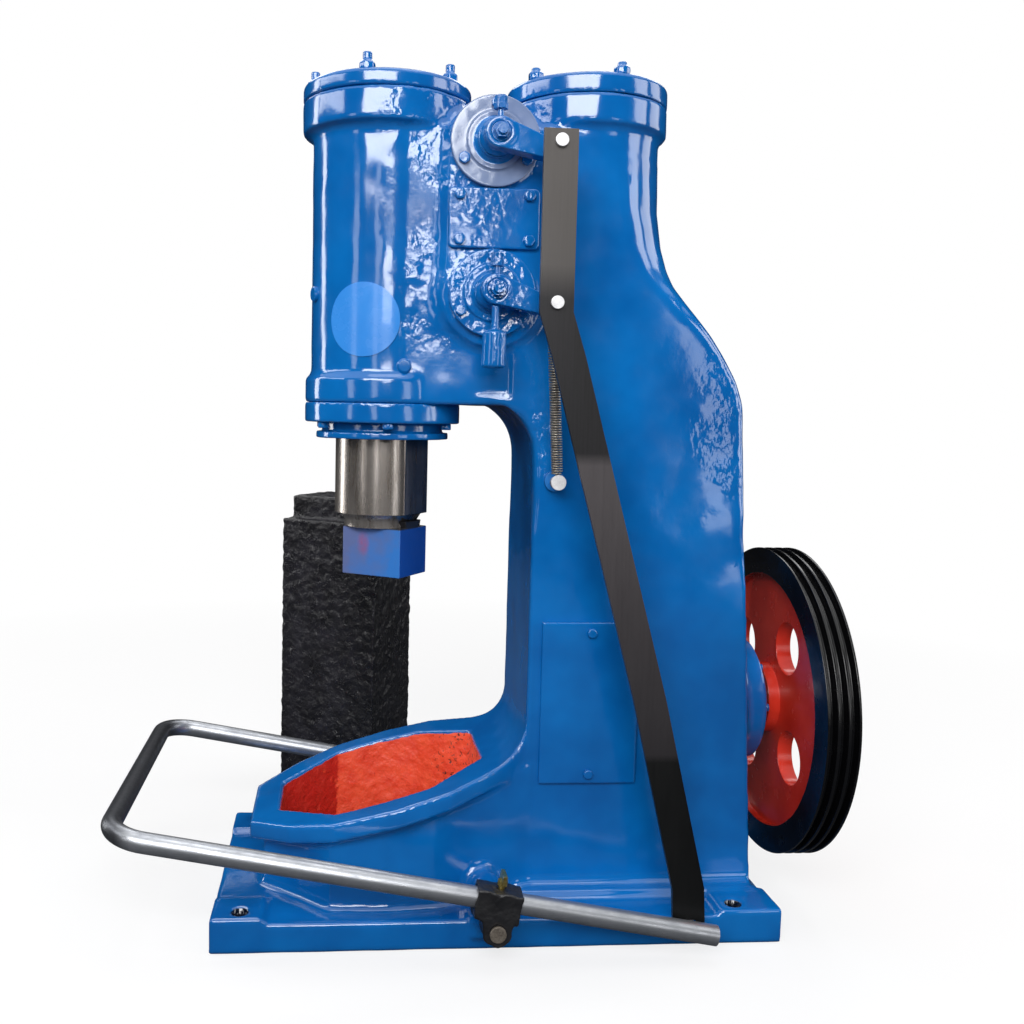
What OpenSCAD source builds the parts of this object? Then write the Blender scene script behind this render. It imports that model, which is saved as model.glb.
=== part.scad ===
// Self-contained air forging hammer with a separate anvil: belt pulley at the back,
// treadle and twin turning valves at the side, ram in front.
// Units mm, +Z up, +X towards the pulley, -X towards the ram, -Y the valve-gear side.
// The origin is the centre of the foundation bolt pattern, on the underside of the base.

/* [Base] */
// Length of the base plate along X
base_length = 930; // [850:1:1100]
// Width of the base plate along Y
base_width = 452; // [400:1:540]
// Thickness of the base plate
base_thick = 47; // [38:1:60]
// Height of the raised pads round the foundation bolts
pad_rise = 9; // [4:1:16]
// Foundation bolt pitch along X
bolt_pitch_x = 810; // [740:1:960]
// Foundation bolt pitch along Y
bolt_pitch_y = 396; // [350:1:480]
// Foundation bolt hole diameter
bolt_hole_d = 26; // [20:1:32]

/* [Frame] */
// Distance from the ram axis back to the centre of the foundation bolts
ram_setback = 182.5; // [150:0.5:230]
// Distance from the ram axis to the column face
throat = 247; // [225:1:300]
// Width of the column and body across Y
column_width = 250; // [220:1:280]
// Depth of the column and body along X, at the shoulder
column_depth = 364; // [330:1:420]
// Height of the working space, from the pocket rim plane to the cylinder foot
cylinder_foot_z = 871; // [800:1:960]
// Height of the joint under the front cylinder cover
cylinder_top_z = 1373; // [1300:1:1480]
// Pitch between the ram cylinder and the compressor cylinder
cylinder_pitch = 344; // [310:1:400]
// Outer diameter of both cylinders
cylinder_d = 249; // [230:1:280]
// Bore of both cylinders
cylinder_bore = 196; // [180:1:210]

/* [Ram] */
// Diameter of the ram
ram_d = 161; // [140:1:170]
// Height of the upper die face above the floor with the ram at rest
die_face_z = 575; // [540:1:620]
// Length of the upper die face
die_length = 115; // [95:1:125]
// Width of the upper die face
die_width = 93; // [75:1:100]
// Angle of the dies to the frame
die_angle = -33; // [-45:1:0]

/* [Pulley] */
// Pulley diameter over the rim
pulley_d = 546; // [480:1:640]
// Width of the pulley rim
pulley_width = 57; // [50:1:90]
// Number of belt grooves
groove_count = 3; // [2:1:4]
// Height of the crankshaft above the floor
shaft_z = 350; // [330:1:400]
// Diameter of the crankshaft in the pulley
shaft_d = 60; // [45:1:70]

/* [Treadle] */
// Diameter of the treadle tube
tube_d = 32; // [26:1:40]
// Distance between the centre lines of the two treadle legs
treadle_span = 568; // [540:1:680]
// Reach of the treadle in front of the ram axis
treadle_reach = 416; // [360:1:480]
// Height of the treadle pivot
pivot_z = 66; // [55:1:80]
// Height of the tube centre above the treadle pivot
tube_lift = 43; // [36:1:60]
// Fall of the treadle tube towards the back, degrees
tube_fall = 10.4; // [6:0.1:14]

/* [Valve gear] */
// Distance of the valve shafts behind the ram axis
valve_x = 167; // [150:1:200]
// Height of the upper valve shaft
valve_z = 1290; // [1200:1:1400]
// Distance between the two valve shafts
valve_pitch = 239; // [220:1:280]
// Length of the valve arms
arm_length = 86; // [75:1:100]
// Droop of the valve arms at rest, degrees
arm_droop = 16.5; // [5:0.1:20]
// Width of the flat link bar
bar_width = 52; // [40:1:60]

/* [Anvil] */
// Height of the anvil block
anvil_h = 672; // [560:1:780]
// Long side of the anvil block
anvil_a = 226; // [190:1:260]
// Short side of the anvil block
anvil_b = 176; // [150:1:210]

/* [Hidden] */
$fn = 64;
e = 0.02;

blue = "#0b62b4";
steel = "#b9bcc0";
dark = "#2b2c2e";
red = "#d0281c";
black = "#141416";

half_w = column_width / 2;
cyl_r = cylinder_d / 2;
bore_r = cylinder_bore / 2;
base_x0 = ram_setback - bolt_pitch_x / 2 - (base_length - bolt_pitch_x) * 0.385;
base_x1 = base_x0 + base_length;
base_y = base_width / 2;
back_x = throat + column_depth;          // back of the body at the shoulder
shoulder_z = shaft_z + 403;              // the body runs straight up to here
back_foot_x = back_x + 36;               // the back leans out to the base
rim_front_x = base_x0 + 52;              // front of the pocket rim
rim_slope = 15;                          // the rim climbs to the column
rim_z0 = 160;                            // top of the rim at its front edge
front_cap_r = cyl_r + 18;
rear_cap_r = cyl_r + 12.5;
front_flange_z = cylinder_top_z - 53;
rear_top_z = cylinder_top_z + 5;
rear_flange_z = rear_top_z - 48;
chest_y = half_w + 10;                   // face of the valve chest
chest_x0 = valve_x - 77;
chest_x1 = valve_x + 92;
ram_r = ram_d / 2;
ram_flat = ram_r * 0.89;                 // distance of the ram's flat from its axis
ram_low_z = die_face_z + 107;            // where the plain ram ends
ram_top_z = cylinder_foot_z + 270;
boss_x = back_x + 61;
rim_x = boss_x + 28;                     // front of the pulley rim
cover_r = 70;
cover_studs = 5;
cover_bolt_angles = [30, 150, 270];
plate_bolt_z = valve_pitch / 2 - cover_r - 14;
leg_y = treadle_span / 2;
tube_r = tube_d / 2;
tube_z = pivot_z + tube_lift;            // tube height over the pivot
pivot_x = valve_x + 10;
bar_y = leg_y - tube_r - 6;              // outer face of the link bar
bar_t = 8;
arm_end_x = valve_x + arm_length * cos(arm_droop);
arm_end_z = valve_z - arm_length * sin(arm_droop);
link_x = pivot_x + 314;                  // treadle link pin
link_z = tube_z - 314 * tan(tube_fall);
arm_y = bar_y - bar_t - 47;              // outer face of the valve arms
arm_t = 32;
hub_r = 24;
lever_y = arm_y - 13;                    // middle of the hand lever
lug_y = leg_y - 28;                      // outer face of the pivot lugs

// Shifts every piece from the ram axis to the foundation centre.
module at_ram() translate([-ram_setback, 0, 0]) children();
module ycyl(r, y0, y1) translate([0, y0, 0]) rotate([-90, 0, 0]) cylinder(r = r, h = y1 - y0);
module xcyl(r, x0, x1) translate([x0, 0, 0]) rotate([0, 90, 0]) cylinder(r = r, h = x1 - x0);
module round_rect(w, d, r) {
  square([w - 2 * r, d], center = true);
  square([w, d - 2 * r], center = true);
  for (sx = [-1, 1], sy = [-1, 1]) translate([sx * (w / 2 - r), sy * (d / 2 - r)]) circle(r);
}
module hexhead(af, h) cylinder(r = af / sqrt(3), h = h, $fn = 6);
// Bolt seen from outside: head on the face, shank into the part below it.
module bolt(af, h, r, deep) {
  hexhead(af, h);
  translate([0, 0, -deep]) cylinder(r = r, h = deep + 1);
}
module side_plate(y, t) translate([0, y + t, 0]) rotate([90, 0, 0]) linear_extrude(t) children();

// Plan outline of the sloping rim round the anvil pocket.
module rim_plan() {
  x0 = rim_front_x;
  b = base_y;
  polygon([[x0, -86], [x0 + 70, -158], [x0 + 142, 23 - b], [x0 + 245, 9 - b], [x0 + 330, 24 - b],
    [throat - 88, -half_w - 50], [throat - 50, -half_w - 27], [throat - 20, -half_w - 9], [throat, -half_w + e],
    [throat + 12, 2 - half_w], [throat + 12, half_w - 2], [throat, half_w - e], [throat - 20, half_w + 9],
    [throat - 50, half_w + 27], [throat - 88, half_w + 50], [x0 + 330, b - 24], [x0 + 245, b - 9], [x0 + 142, b - 23], [x0 + 70, 158], [x0, 86]]);
}
// Opening for the anvil.
module pocket_plan() {
  x0 = rim_front_x + 50;
  x1 = throat - 70;
  w = base_y - 65;
  polygon([[x0, -66], [x0 + 97, 6 - w], [x0 + 178, -w], [x0 + 250, 9 - w], [x1, -77],
    [x1, 77], [x0 + 250, w - 9], [x0 + 178, w], [x0 + 97, w - 6], [x0, 66]]);
}
// Outline of the wall round the pocket, running back into the column.
module wall_plan() {
  x0 = rim_front_x + 50;
  w = base_y - 65 + 26;
  polygon([[x0 - 26, -76], [x0 + 87, 6 - w], [x0 + 178, -w], [x0 + 258, 9 - w], [throat + 14, 1 - half_w],
    [throat + 14, half_w - 1], [x0 + 258, w - 9], [x0 + 178, w], [x0 + 87, w - 6], [x0 - 26, 76]]);
}
// Rim from the side: a sloping band that curves up into the column face.
module rim_side() {
  r = 80;
  m = tan(rim_slope);
  xt = throat - r + r * sin(rim_slope);
  zc = rim_z0 + m * (xt - rim_front_x) + r * cos(rim_slope);
  polygon(concat([[rim_front_x - 10, rim_z0 - 10 * m - 31], [rim_front_x - 10, rim_z0 - 10 * m]],
    [for (a = [rim_slope - 90:5:0]) [throat - r + r * cos(a), zc + r * sin(a)]],
    [[throat + 12, zc], [throat + 12, rim_z0 + m * (throat + 12 - rim_front_x) - 31]]));
}
// Everything under the sloping rim plane lowered by d.
module below_rim(d) {
  translate([rim_front_x, 0, rim_z0 - d]) rotate([0, -rim_slope, 0])
    translate([-300, -600, -900]) cube([1400, 1200, 900]);
}

// One level of the shoulder: flat sides to xc, then rounded off to xb.
function shoulder_ring(z, xc, xb, n = 10) =
  let (rx = xb - xc, ry = min(half_w - 1, rx * 1.15))
  concat([[cylinder_pitch - 60, -half_w, z], [xc, -half_w, z]],
    [for (i = [1:n]) [xc + rx * sin(90 * i / n), -half_w + ry * (1 - cos(90 * i / n)), z]],
    [for (i = [n:-1:1]) [xc + rx * sin(90 * i / n), half_w - ry * (1 - cos(90 * i / n)) , z]],
    [[xc, half_w, z], [cylinder_pitch - 60, half_w, z]]);
module skin(rings) {
  n = len(rings[0]);
  m = len(rings);
  polyhedron(points = [for (r = rings) each r],
    faces = concat([[for (i = [0:n - 1]) i]], [[for (i = [n - 1:-1:0]) (m - 1) * n + i]],
      [for (k = [0:m - 2], i = [0:n - 1]) let (a = k * n + i, b = k * n + (i + 1) % n)
        [a, a + n, b + n, b]]));
}
// Body behind the cylinders: straight below, swept in to the round cylinder above.
module shoulder() {
  x = cylinder_pitch;
  b = back_x;
  skin([shoulder_ring(shoulder_z - 60, b - 10, b + 4), shoulder_ring(shoulder_z + 40, b - 14, b - 2),
    shoulder_ring(shoulder_z + 127, b - 20, b - 6), shoulder_ring(shoulder_z + 165, b - 34, b - 18),
    shoulder_ring(shoulder_z + 205, b - 58, b - 40), shoulder_ring(shoulder_z + 240, b - 85, b - 62),
    shoulder_ring(shoulder_z + 272, b - 118, b - 86), shoulder_ring(shoulder_z + 300, b - 150, b - 108),
    shoulder_ring(shoulder_z + 323, x + 88, b - 122), shoulder_ring(shoulder_z + 350, x + 62, x + 137),
    shoulder_ring(shoulder_z + 390, x + 40, x + 129), shoulder_ring(shoulder_z + 450, x + 17, x + cyl_r + 0.7),
    shoulder_ring(shoulder_z + 530, x + 3, x + cyl_r + 0.6)]);
}

module frame_solid() {
  // Base plate with pads
  translate([base_x0, -base_y, 0]) cube([base_length, base_width, base_thick]);
  for (sx = [0, 1], sy = [-1, 1])
    translate([sx ? base_x1 - 104 : base_x0, sy > 0 ? base_y - 84 : -base_y, 0])
      cube([sx ? 104 : 84, 84, base_thick + pad_rise]);
  // Body and column from the side
  side_plate(-half_w, column_width) polygon([[throat, 20], [back_foot_x, 20],
    [back_x, shoulder_z - 40], [throat, shoulder_z - 40]]);
  side_plate(-half_w, column_width)
    polygon([[throat, shoulder_z - 41], [cylinder_pitch + 60, shoulder_z - 41],
      [cylinder_pitch + 2, front_flange_z - 10], [throat - 40, front_flange_z - 10],
      [throat - 40, cylinder_foot_z + 10], [throat, cylinder_foot_z + 10]]);
  shoulder();
  // Foot of the body on the base
  translate([throat - 10, -half_w - 26, 20]) cube([back_foot_x - throat + 6, column_width + 52, 40]);
  // Cylinders
  translate([0, 0, cylinder_foot_z]) cylinder(r = cyl_r, h = cylinder_top_z - cylinder_foot_z, $fn = 96);
  translate([0, 0, cylinder_foot_z]) cylinder(r = cyl_r + 9.5, h = 43, $fn = 96);
  translate([0, 0, front_flange_z]) cylinder(r = front_cap_r, h = cylinder_top_z - front_flange_z, $fn = 96);
  translate([0, 0, front_flange_z - 9]) cylinder(r1 = cyl_r - 1, r2 = front_cap_r - 2, h = 14, $fn = 96);
  translate([cylinder_pitch, 0, shoulder_z + 300])
    cylinder(r = cyl_r, h = rear_top_z - shoulder_z - 300, $fn = 96);
  translate([cylinder_pitch, 0, rear_flange_z]) cylinder(r = rear_cap_r, h = rear_top_z - rear_flange_z, $fn = 96);
  translate([cylinder_pitch, 0, rear_flange_z - 9]) cylinder(r1 = cyl_r - 1, r2 = rear_cap_r - 2, h = 14, $fn = 96);
  // Web between the cylinders and the valve chest on it
  translate([0, 4 - half_w, cylinder_foot_z]) cube([cylinder_pitch, column_width - 8, front_flange_z - 4 - cylinder_foot_z]);
  translate([chest_x0, -chest_y, valve_z - valve_pitch])
    cube([chest_x1 - chest_x0, chest_y + half_w - 10, front_flange_z - valve_z + valve_pitch - 4]);
  translate([valve_x + 3, 0, valve_z - valve_pitch]) ycyl(86, -chest_y, 0);
  for (k = [0, 1]) translate([valve_x, 0, valve_z - k * valve_pitch]) ycyl(cover_r - 0.5, -chest_y - 4, 0);
  // Pocket wall and rim
  intersection() {
    translate([0, 0, 20]) linear_extrude(300) wall_plan();
    below_rim(20);
  }
  intersection() {
    linear_extrude(600) rim_plan();
    side_plate(-base_y - 5, base_width + 10) rim_side();
  }
  // Lugs of the treadle pivot
  for (s = [-1, 1]) {
    translate([pivot_x, 0, pivot_z]) ycyl(25, s > 0 ? base_y - 34 : -lug_y, s > 0 ? lug_y : -base_y + 34);
    translate([pivot_x, 0, pivot_z + 10]) ycyl(27, s > 0 ? base_y - 60 : -base_y - 8, s > 0 ? base_y + 8 : -base_y + 60);
    translate([pivot_x - 27, s > 0 ? base_y - 60 : -base_y - 8, 20]) cube([54, 68, pivot_z - 10]);
  }
  // Crankshaft bearing boss
  translate([0, 0, shaft_z]) xcyl(107, back_x - 60, boss_x);
}

module throat_corner() {
  // Rounded upper corner of the throat
  r1 = 96;
  side_plate(-half_w + 0.5, column_width - 1) difference() {
    translate([throat - r1, cylinder_foot_z - r1 + 12]) square([r1 + 1, r1 + 1]);
    translate([throat - r1, cylinder_foot_z - r1 + 12]) circle(r1);
  }
}

module frame_casting() color(blue) at_ram() {
  difference() {
    union() { frame_solid(); throat_corner(); }
    // Cylinder bores
    translate([0, 0, cylinder_foot_z - 1]) cylinder(r = bore_r, h = 600, $fn = 96);
    translate([cylinder_pitch, 0, shoulder_z + 60]) cylinder(r = bore_r, h = 700, $fn = 96);
    // Bolt holes of the guide flange and the cylinder covers
    for (i = [0:5]) rotate(i * 60 - 28) translate([cyl_r - 5, 0, cylinder_foot_z - 1]) cylinder(r = 6, h = 24, $fn = 24);
    for (i = [0:cover_studs - 1]) {
      rotate(i * 360 / cover_studs - 180) translate([cyl_r - 2, 0, cylinder_top_z - 30])
        cylinder(r = 6.5, h = 40, $fn = 24);
      translate([cylinder_pitch, 0, 0]) rotate(i * 360 / cover_studs - 147)
        translate([cyl_r - 4, 0, rear_top_z - 30]) cylinder(r = 6.5, h = 40, $fn = 24);
    }
    // Bolt holes of the valve covers, cover plate, access cover and bearing cover
    for (k = [0, 1], a = cover_bolt_angles) translate([valve_x, 0, valve_z - k * valve_pitch])
      rotate([0, a, 0]) translate([cover_r - 12, 0, 0]) ycyl(5, -chest_y - 5, -chest_y + 14);
    for (sx = [-1, 1], sz = [-1, 1]) translate([valve_x + 1 + sx * 56, 0, valve_z - valve_pitch / 2 + sz * plate_bolt_z])
      ycyl(5, -chest_y - 1, -chest_y + 14);
    for (z = [254, 495]) translate([throat + 104, 0, z]) ycyl(5, -half_w - 1, -half_w + 14);
    for (i = [0:5]) translate([0, 0, shaft_z]) rotate([i * 60 + 30, 0, 0]) translate([0, 0, 72])
      xcyl(4.5, boss_x - 14, boss_x + 1);
    // Crank chamber with its side opening and bearing bore
    translate([throat + 34, -half_w + 26, 90]) cube([column_depth - 68, column_width - 52, shoulder_z - 10]);
    translate([throat + 42, -half_w - 5, 264]) cube([118, 60, 222]);
    translate([0, 0, shaft_z]) xcyl(62, back_x - 80, boss_x + 1);
    // Anvil pocket
    translate([0, 0, -1]) linear_extrude(420) pocket_plan();
    // Valve bores
    for (k = [0, 1]) translate([valve_x, 0, valve_z - k * valve_pitch]) ycyl(46, -chest_y - 5, half_w - 30);
    translate([valve_x - 34, -chest_y - 1, valve_z - valve_pitch / 2 - 24]) cube([68, 70, 48]);
    // Foundation bolt holes
    for (sx = [-1, 1], sy = [-1, 1])
      translate([ram_setback + sx * bolt_pitch_x / 2, sy * bolt_pitch_y / 2, -1])
        cylinder(d = bolt_hole_d, h = base_thick + pad_rise + 2);
    // Sockets of the treadle pivot pins
    for (s = [-1, 1]) translate([pivot_x, 0, pivot_z])
      ycyl(10, s > 0 ? base_y - 30 : -lug_y - 1, s > 0 ? lug_y + 1 : -base_y + 30);
    // Socket of the spring anchor
    translate([anchor_x, 0, anchor_z]) ycyl(8, -half_w - 1, -half_w + 20);
  }
}

module cover(z, r, h, pr, turn) {
  difference() {
    union() {
      translate([0, 0, z]) cylinder(r = r, h = h - 4, $fn = 96);
      translate([0, 0, z + h - 4 - e]) cylinder(r1 = r, r2 = r - 4, h = 4 + e, $fn = 96);
    }
    for (i = [0:cover_studs - 1]) rotate(i * 360 / cover_studs + turn) translate([pr, 0, z - 1]) cylinder(r = 6.5, h = h + 2, $fn = 24);
  }
}
module front_cylinder_cover() color(blue) at_ram() cover(cylinder_top_z, front_cap_r, 26, cyl_r - 2, -180);
module rear_cylinder_cover() color(blue) at_ram() translate([cylinder_pitch, 0, 0])
  cover(rear_top_z, rear_cap_r, 32, cyl_r - 4, -147);
module cover_bolts(z, n, pr, turn, tall) for (i = [0:n - 1]) rotate(i * 360 / n + turn) translate([pr, 0, z]) {
  hexhead(22, 12);
  translate([0, 0, -54]) cylinder(r = 6.5, h = 54 + tall, $fn = 24);
}
module front_cover_bolts() color(blue) at_ram() cover_bolts(cylinder_top_z + 26, cover_studs, cyl_r - 2, -180, 28);
module rear_cover_bolts() color(blue) at_ram() translate([cylinder_pitch, 0, 0])
  cover_bolts(rear_top_z + 32, cover_studs, cyl_r - 4, -147, 20);

// Section of the ram: round with one flat that stops it turning; grown by g for its guides.
module ram_section(g) difference() {
  circle(ram_r + g, $fn = 96);
  rotate(die_angle) translate([ram_flat + g, -ram_r * 2]) square([ram_r, ram_r * 4]);
}
module ram_guide_flange() color(blue) at_ram() difference() {
  translate([0, 0, cylinder_foot_z - 33]) cylinder(r = cyl_r + 9.5, h = 33, $fn = 96);
  translate([0, 0, cylinder_foot_z - 34]) linear_extrude(40) ram_section(0.08);
  for (i = [0:5]) rotate(i * 60 - 28) translate([cyl_r - 5, 0, cylinder_foot_z - 34]) cylinder(r = 6, h = 40, $fn = 24);
}
module gland_ring() color(blue) at_ram() difference() {
  union() {
    translate([0, 0, cylinder_foot_z - 50]) cylinder(r = cyl_r - 20, h = 17, $fn = 96);
    translate([0, 0, cylinder_foot_z - 60]) cylinder(r = cyl_r - 10, h = 11, $fn = 96);
  }
  translate([0, 0, cylinder_foot_z - 61]) linear_extrude(40) ram_section(0.08);
}
module guide_flange_bolts() color(blue) at_ram() for (i = [0:5]) rotate(i * 60 - 28)
  translate([cyl_r - 5, 0, cylinder_foot_z - 33]) rotate([180, 0, 0]) bolt(17, 10, 6, 50);

// The ram: a bored-out plunger with piston rings above and a collar below.
module ram() color(steel) at_ram() difference() {
  union() {
    translate([0, 0, ram_low_z]) linear_extrude(ram_top_z - ram_low_z - 100) ram_section(0);
    translate([0, 0, ram_top_z - 110]) cylinder(r = bore_r - 0.3, h = 110, $fn = 96);
    translate([0, 0, ram_low_z - 24]) cylinder(r = ram_r - 17, h = 26, $fn = 96);
    translate([0, 0, ram_low_z - 12]) cylinder(r1 = ram_r - 17, r2 = ram_flat - 0.2, h = 13, $fn = 96);
  }
  translate([0, 0, ram_low_z + 90]) cylinder(r = ram_r - 30, h = 600, $fn = 64);
  for (k = [0:2]) translate([0, 0, ram_top_z - 22 - k * 18]) difference() {
    cylinder(r = bore_r + 5, h = 6, $fn = 96);
    translate([0, 0, -1]) cylinder(r = bore_r - 6, h = 8, $fn = 96);
  }
  // Dovetail slot for the die
  rotate(die_angle) translate([-120, 0, ram_low_z - 26]) rotate([90, 0, 90])
    linear_extrude(240) polygon([[-26, 0], [26, 0], [31, 14], [-31, 14]]);
}
module upper_die() color(blue) at_ram() rotate(die_angle) {
  x = -die_length / 2 + 9;
  translate([x, -die_width / 2, die_face_z]) cube([die_length, die_width, ram_low_z - 24 - die_face_z]);
  translate([x, 0, ram_low_z - 24 - e]) rotate([90, 0, 90])
    linear_extrude(die_length) polygon([[-25.5, 0], [17, 0], [20, 12], [-29, 12]]);
}
module die_key() color(dark) at_ram() rotate(die_angle) translate([-die_length / 2 - 3, 0, ram_low_z - 24])
  rotate([90, 0, 90]) linear_extrude(die_length + 10) polygon([[17.3, 0.3], [25.5, 0.3], [29, 12], [20.3, 12]]);

module valve_cover(z, r, step) translate([valve_x, 0, z]) difference() {
  union() {
    ycyl(r, -chest_y - 14, -chest_y - 4);
    ycyl(r - step, -chest_y - 18, -chest_y - 13);
    ycyl(r - step - 12, -chest_y - 22, -chest_y - 17);
    ycyl(31, -chest_y - 32, -chest_y - 21);
  }
  ycyl(15.05, -chest_y - 33, -chest_y);
  for (a = cover_bolt_angles) rotate([0, a, 0]) translate([cover_r - 12, 0, 0]) ycyl(5, -chest_y - 19, -chest_y);
}
module upper_valve_cover() color("#b9c6d6") at_ram() valve_cover(valve_z, cover_r + 2, 26);
module lower_valve_cover() color(blue) at_ram() valve_cover(valve_z - valve_pitch, cover_r, 24);
module middle_cover_plate() color(blue) at_ram() translate([valve_x + 1, -chest_y - 10, valve_z - valve_pitch / 2])
  rotate([-90, 0, 0]) difference() {
    linear_extrude(10) translate([0, 1]) round_rect(147, valve_pitch - 2 * cover_r - 3.4, 8);
    for (sx = [-1, 1], sz = [-1, 1]) translate([sx * 56, sz * plate_bolt_z, -1]) cylinder(r = 5, h = 12, $fn = 24);
  }
module valve_cover_bolts() color(blue) at_ram() {
  for (k = [0, 1], a = cover_bolt_angles) translate([valve_x, 0, valve_z - k * valve_pitch])
    rotate([0, a, 0]) translate([cover_r - 12, -chest_y - 14, 0]) rotate([90, 0, 0]) bolt(17, 8, 5, 26);
  for (sx = [-1, 1], sz = [-1, 1]) translate([valve_x + 1 + sx * 56, -chest_y - 10, valve_z - valve_pitch / 2 + sz * plate_bolt_z])
    rotate([90, 0, 0]) bolt(17, 8, 5, 20);
}

// Turning valve: drum in the chest, spindle out through the cover.
module valve_shaft(z) translate([valve_x, 0, z]) difference() {
  union() {
    ycyl(15, -arm_y, -chest_y + 12);
    ycyl(8, -arm_y - 19, -arm_y + 1);
    ycyl(45.9, -chest_y + 8, half_w - 34);
  }
  translate([-16, -chest_y + 30, -60]) cube([32, column_width - 90, 120]);
}
module upper_valve_shaft() color(steel) at_ram() valve_shaft(valve_z);
module lower_valve_shaft() color(steel) at_ram() valve_shaft(valve_z - valve_pitch);
module arm(z) translate([valve_x, 0, z]) rotate([0, arm_droop, 0]) difference() {
  union() {
    ycyl(hub_r, -arm_y, -arm_y + 26);
    translate([0, -arm_y + 25.5, 0]) rotate([-90, 0, 0]) cylinder(r1 = hub_r, r2 = 31, h = arm_y - chest_y - 61.5);
    translate([0, -arm_y + 1, 0]) rotate([-90, 0, 0]) linear_extrude(arm_t - 1)
      polygon([[0, 1 - hub_r], [arm_length, -14.5], [arm_length, 14.5], [0, hub_r - 1]]);
    translate([arm_length, 0, 0]) ycyl(14.5, -arm_y, -arm_y + arm_t + 0.5);
  }
  rotate([0, -arm_droop, 0]) translate([0, -lever_y, 0]) cylinder(r = 5.05, h = 40);
  ycyl(15.02, -bar_y, -chest_y);
  translate([arm_length, 0, 0]) ycyl(8.02, -bar_y, -chest_y);
}
module upper_arm() color(blue) at_ram() arm(valve_z);
module lower_arm() color(blue) at_ram() arm(valve_z - valve_pitch);
module arm_nut(z) translate([valve_x, -arm_y, z]) rotate([90, 0, 0]) difference() {
  hexhead(22, 13);
  translate([0, 0, -1]) cylinder(r = 8, h = 20);
}
// Square-ended clamp screw that locks the arm on its spindle.
module clamp_screw(z) translate([valve_x, -lever_y, z]) {
  translate([0, 0, 15.1]) cylinder(r = 5, h = 22);
  translate([0, 0, 36]) hexhead(20, 9);
  translate([0, 0, 44.5]) hexhead(17, 12);
}
module upper_clamp_screw() color(blue) at_ram() clamp_screw(valve_z);
module lower_clamp_screw() color(blue) at_ram() clamp_screw(valve_z - valve_pitch);
module upper_arm_nut() color(steel) at_ram() arm_nut(valve_z);
module lower_arm_nut() color(steel) at_ram() arm_nut(valve_z - valve_pitch);

module hand_lever() color(blue) at_ram() translate([valve_x, -lever_y, valve_z - valve_pitch]) rotate([0, 1.1, 0]) {
  translate([0, 0, -68]) cylinder(r = 6, h = 68 - hub_r - 0.2);
  translate([0, 0, -119]) cylinder(r = 19, h = 52);
  translate([0, 0, -122]) cylinder(r1 = 16, r2 = 19, h = 3 + e);
  translate([0, 0, -67 - e]) cylinder(r1 = 19, r2 = 14, h = 4);
}

// Flat bar from the valve arms down to the treadle.
module link_bar() color(dark) at_ram() {
  w = bar_width / 2;
  kz = arm_end_z - valve_pitch - 14;
  fall = kz - link_z;
  run = link_x - arm_end_x;
  mid = [[arm_end_x, arm_end_z + 18], [arm_end_x, kz], [arm_end_x + run * 0.08 + 2, kz - fall * 0.07],
    [arm_end_x + run * 0.36 + 3, kz - fall * 0.33], [arm_end_x + run * 0.66 + 6, kz - fall * 0.62],
    [link_x - 3, link_z + 60], [link_x, link_z + 6], [link_x, link_z - 24]];
  difference() {
    side_plate(-bar_y, bar_t)
      polygon(concat([for (m = mid) [m[0] - w, m[1]]], [for (i = [len(mid) - 1:-1:0]) [mid[i][0] + w, mid[i][1]]]));
    for (k = [0, 1]) translate([arm_end_x, 0, arm_end_z - k * valve_pitch]) ycyl(8.05, -bar_y - 1, -bar_y + bar_t + 1);
    for (dx = [-6, 6]) translate([link_x + dx, 0, link_z]) ycyl(8.5, -bar_y - 1, -bar_y + bar_t + 1);
    translate([link_x - 6, -bar_y - 1, link_z - 8.5]) cube([12, bar_t + 2, 17]);
  }
}
module link_pin(z) translate([arm_end_x, 0, z]) {
  ycyl(8, -bar_y - 2, -arm_y + arm_t + 6);
  ycyl(10, -bar_y - 7, -bar_y - 0.5);
  ycyl(11, -bar_y + bar_t + 0.5, -bar_y + bar_t + 12);
  ycyl(12, -arm_y + arm_t + 1, -arm_y + arm_t + 7);
}
module upper_link_pin() color(steel) at_ram() link_pin(arm_end_z);
module lower_link_pin() color(steel) at_ram() link_pin(arm_end_z - valve_pitch);

// Spring from the lower link pin, just behind the bar, down to an anchor pin close to the column.
spring_y = -arm_y - 24;                  // its upper end
anchor_y = -half_w - 26;                 // its lower end
anchor_x = throat + 34;
anchor_z = 748;
spring_top = arm_end_z - valve_pitch;
module return_spring() color(dark) at_ram() translate([anchor_x, anchor_y, anchor_z]) {
  d = [arm_end_x - anchor_x, spring_y - anchor_y, spring_top - anchor_z];
  l = norm(d);
  coils = 20;
  p = (l - 62) / coils;
  rotate([acos(d[2] / l), 0, atan2(d[0], -d[1])]) {
    translate([0, 0, 22]) rotate_extrude($fn = 32) polygon(concat([[0, 0]],
      [for (i = [0:coils - 1]) each [[5.4, p * i], [7.2, p * (i + 0.3)], [7.2, p * (i + 0.7)]]],
      [[5.4, p * coils], [0, p * coils]]));
    translate([0, 0, 10.5]) cylinder(r = 2, h = l - 21, $fn = 24);
  }
  ring_y();
  translate(d) ring_y();
}
module ring_y() difference() {
  ycyl(13.5, -3.2, 3.2);
  ycyl(8.6, -4, 4);
}
module spring_anchor_pin() color(steel) at_ram() translate([anchor_x, 0, anchor_z]) {
  ycyl(7.95, anchor_y - 8, -half_w + 18);
  ycyl(12.5, anchor_y - 13, anchor_y - 7);
  ycyl(17, -half_w - 7, -half_w - 0.05);
}

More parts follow.
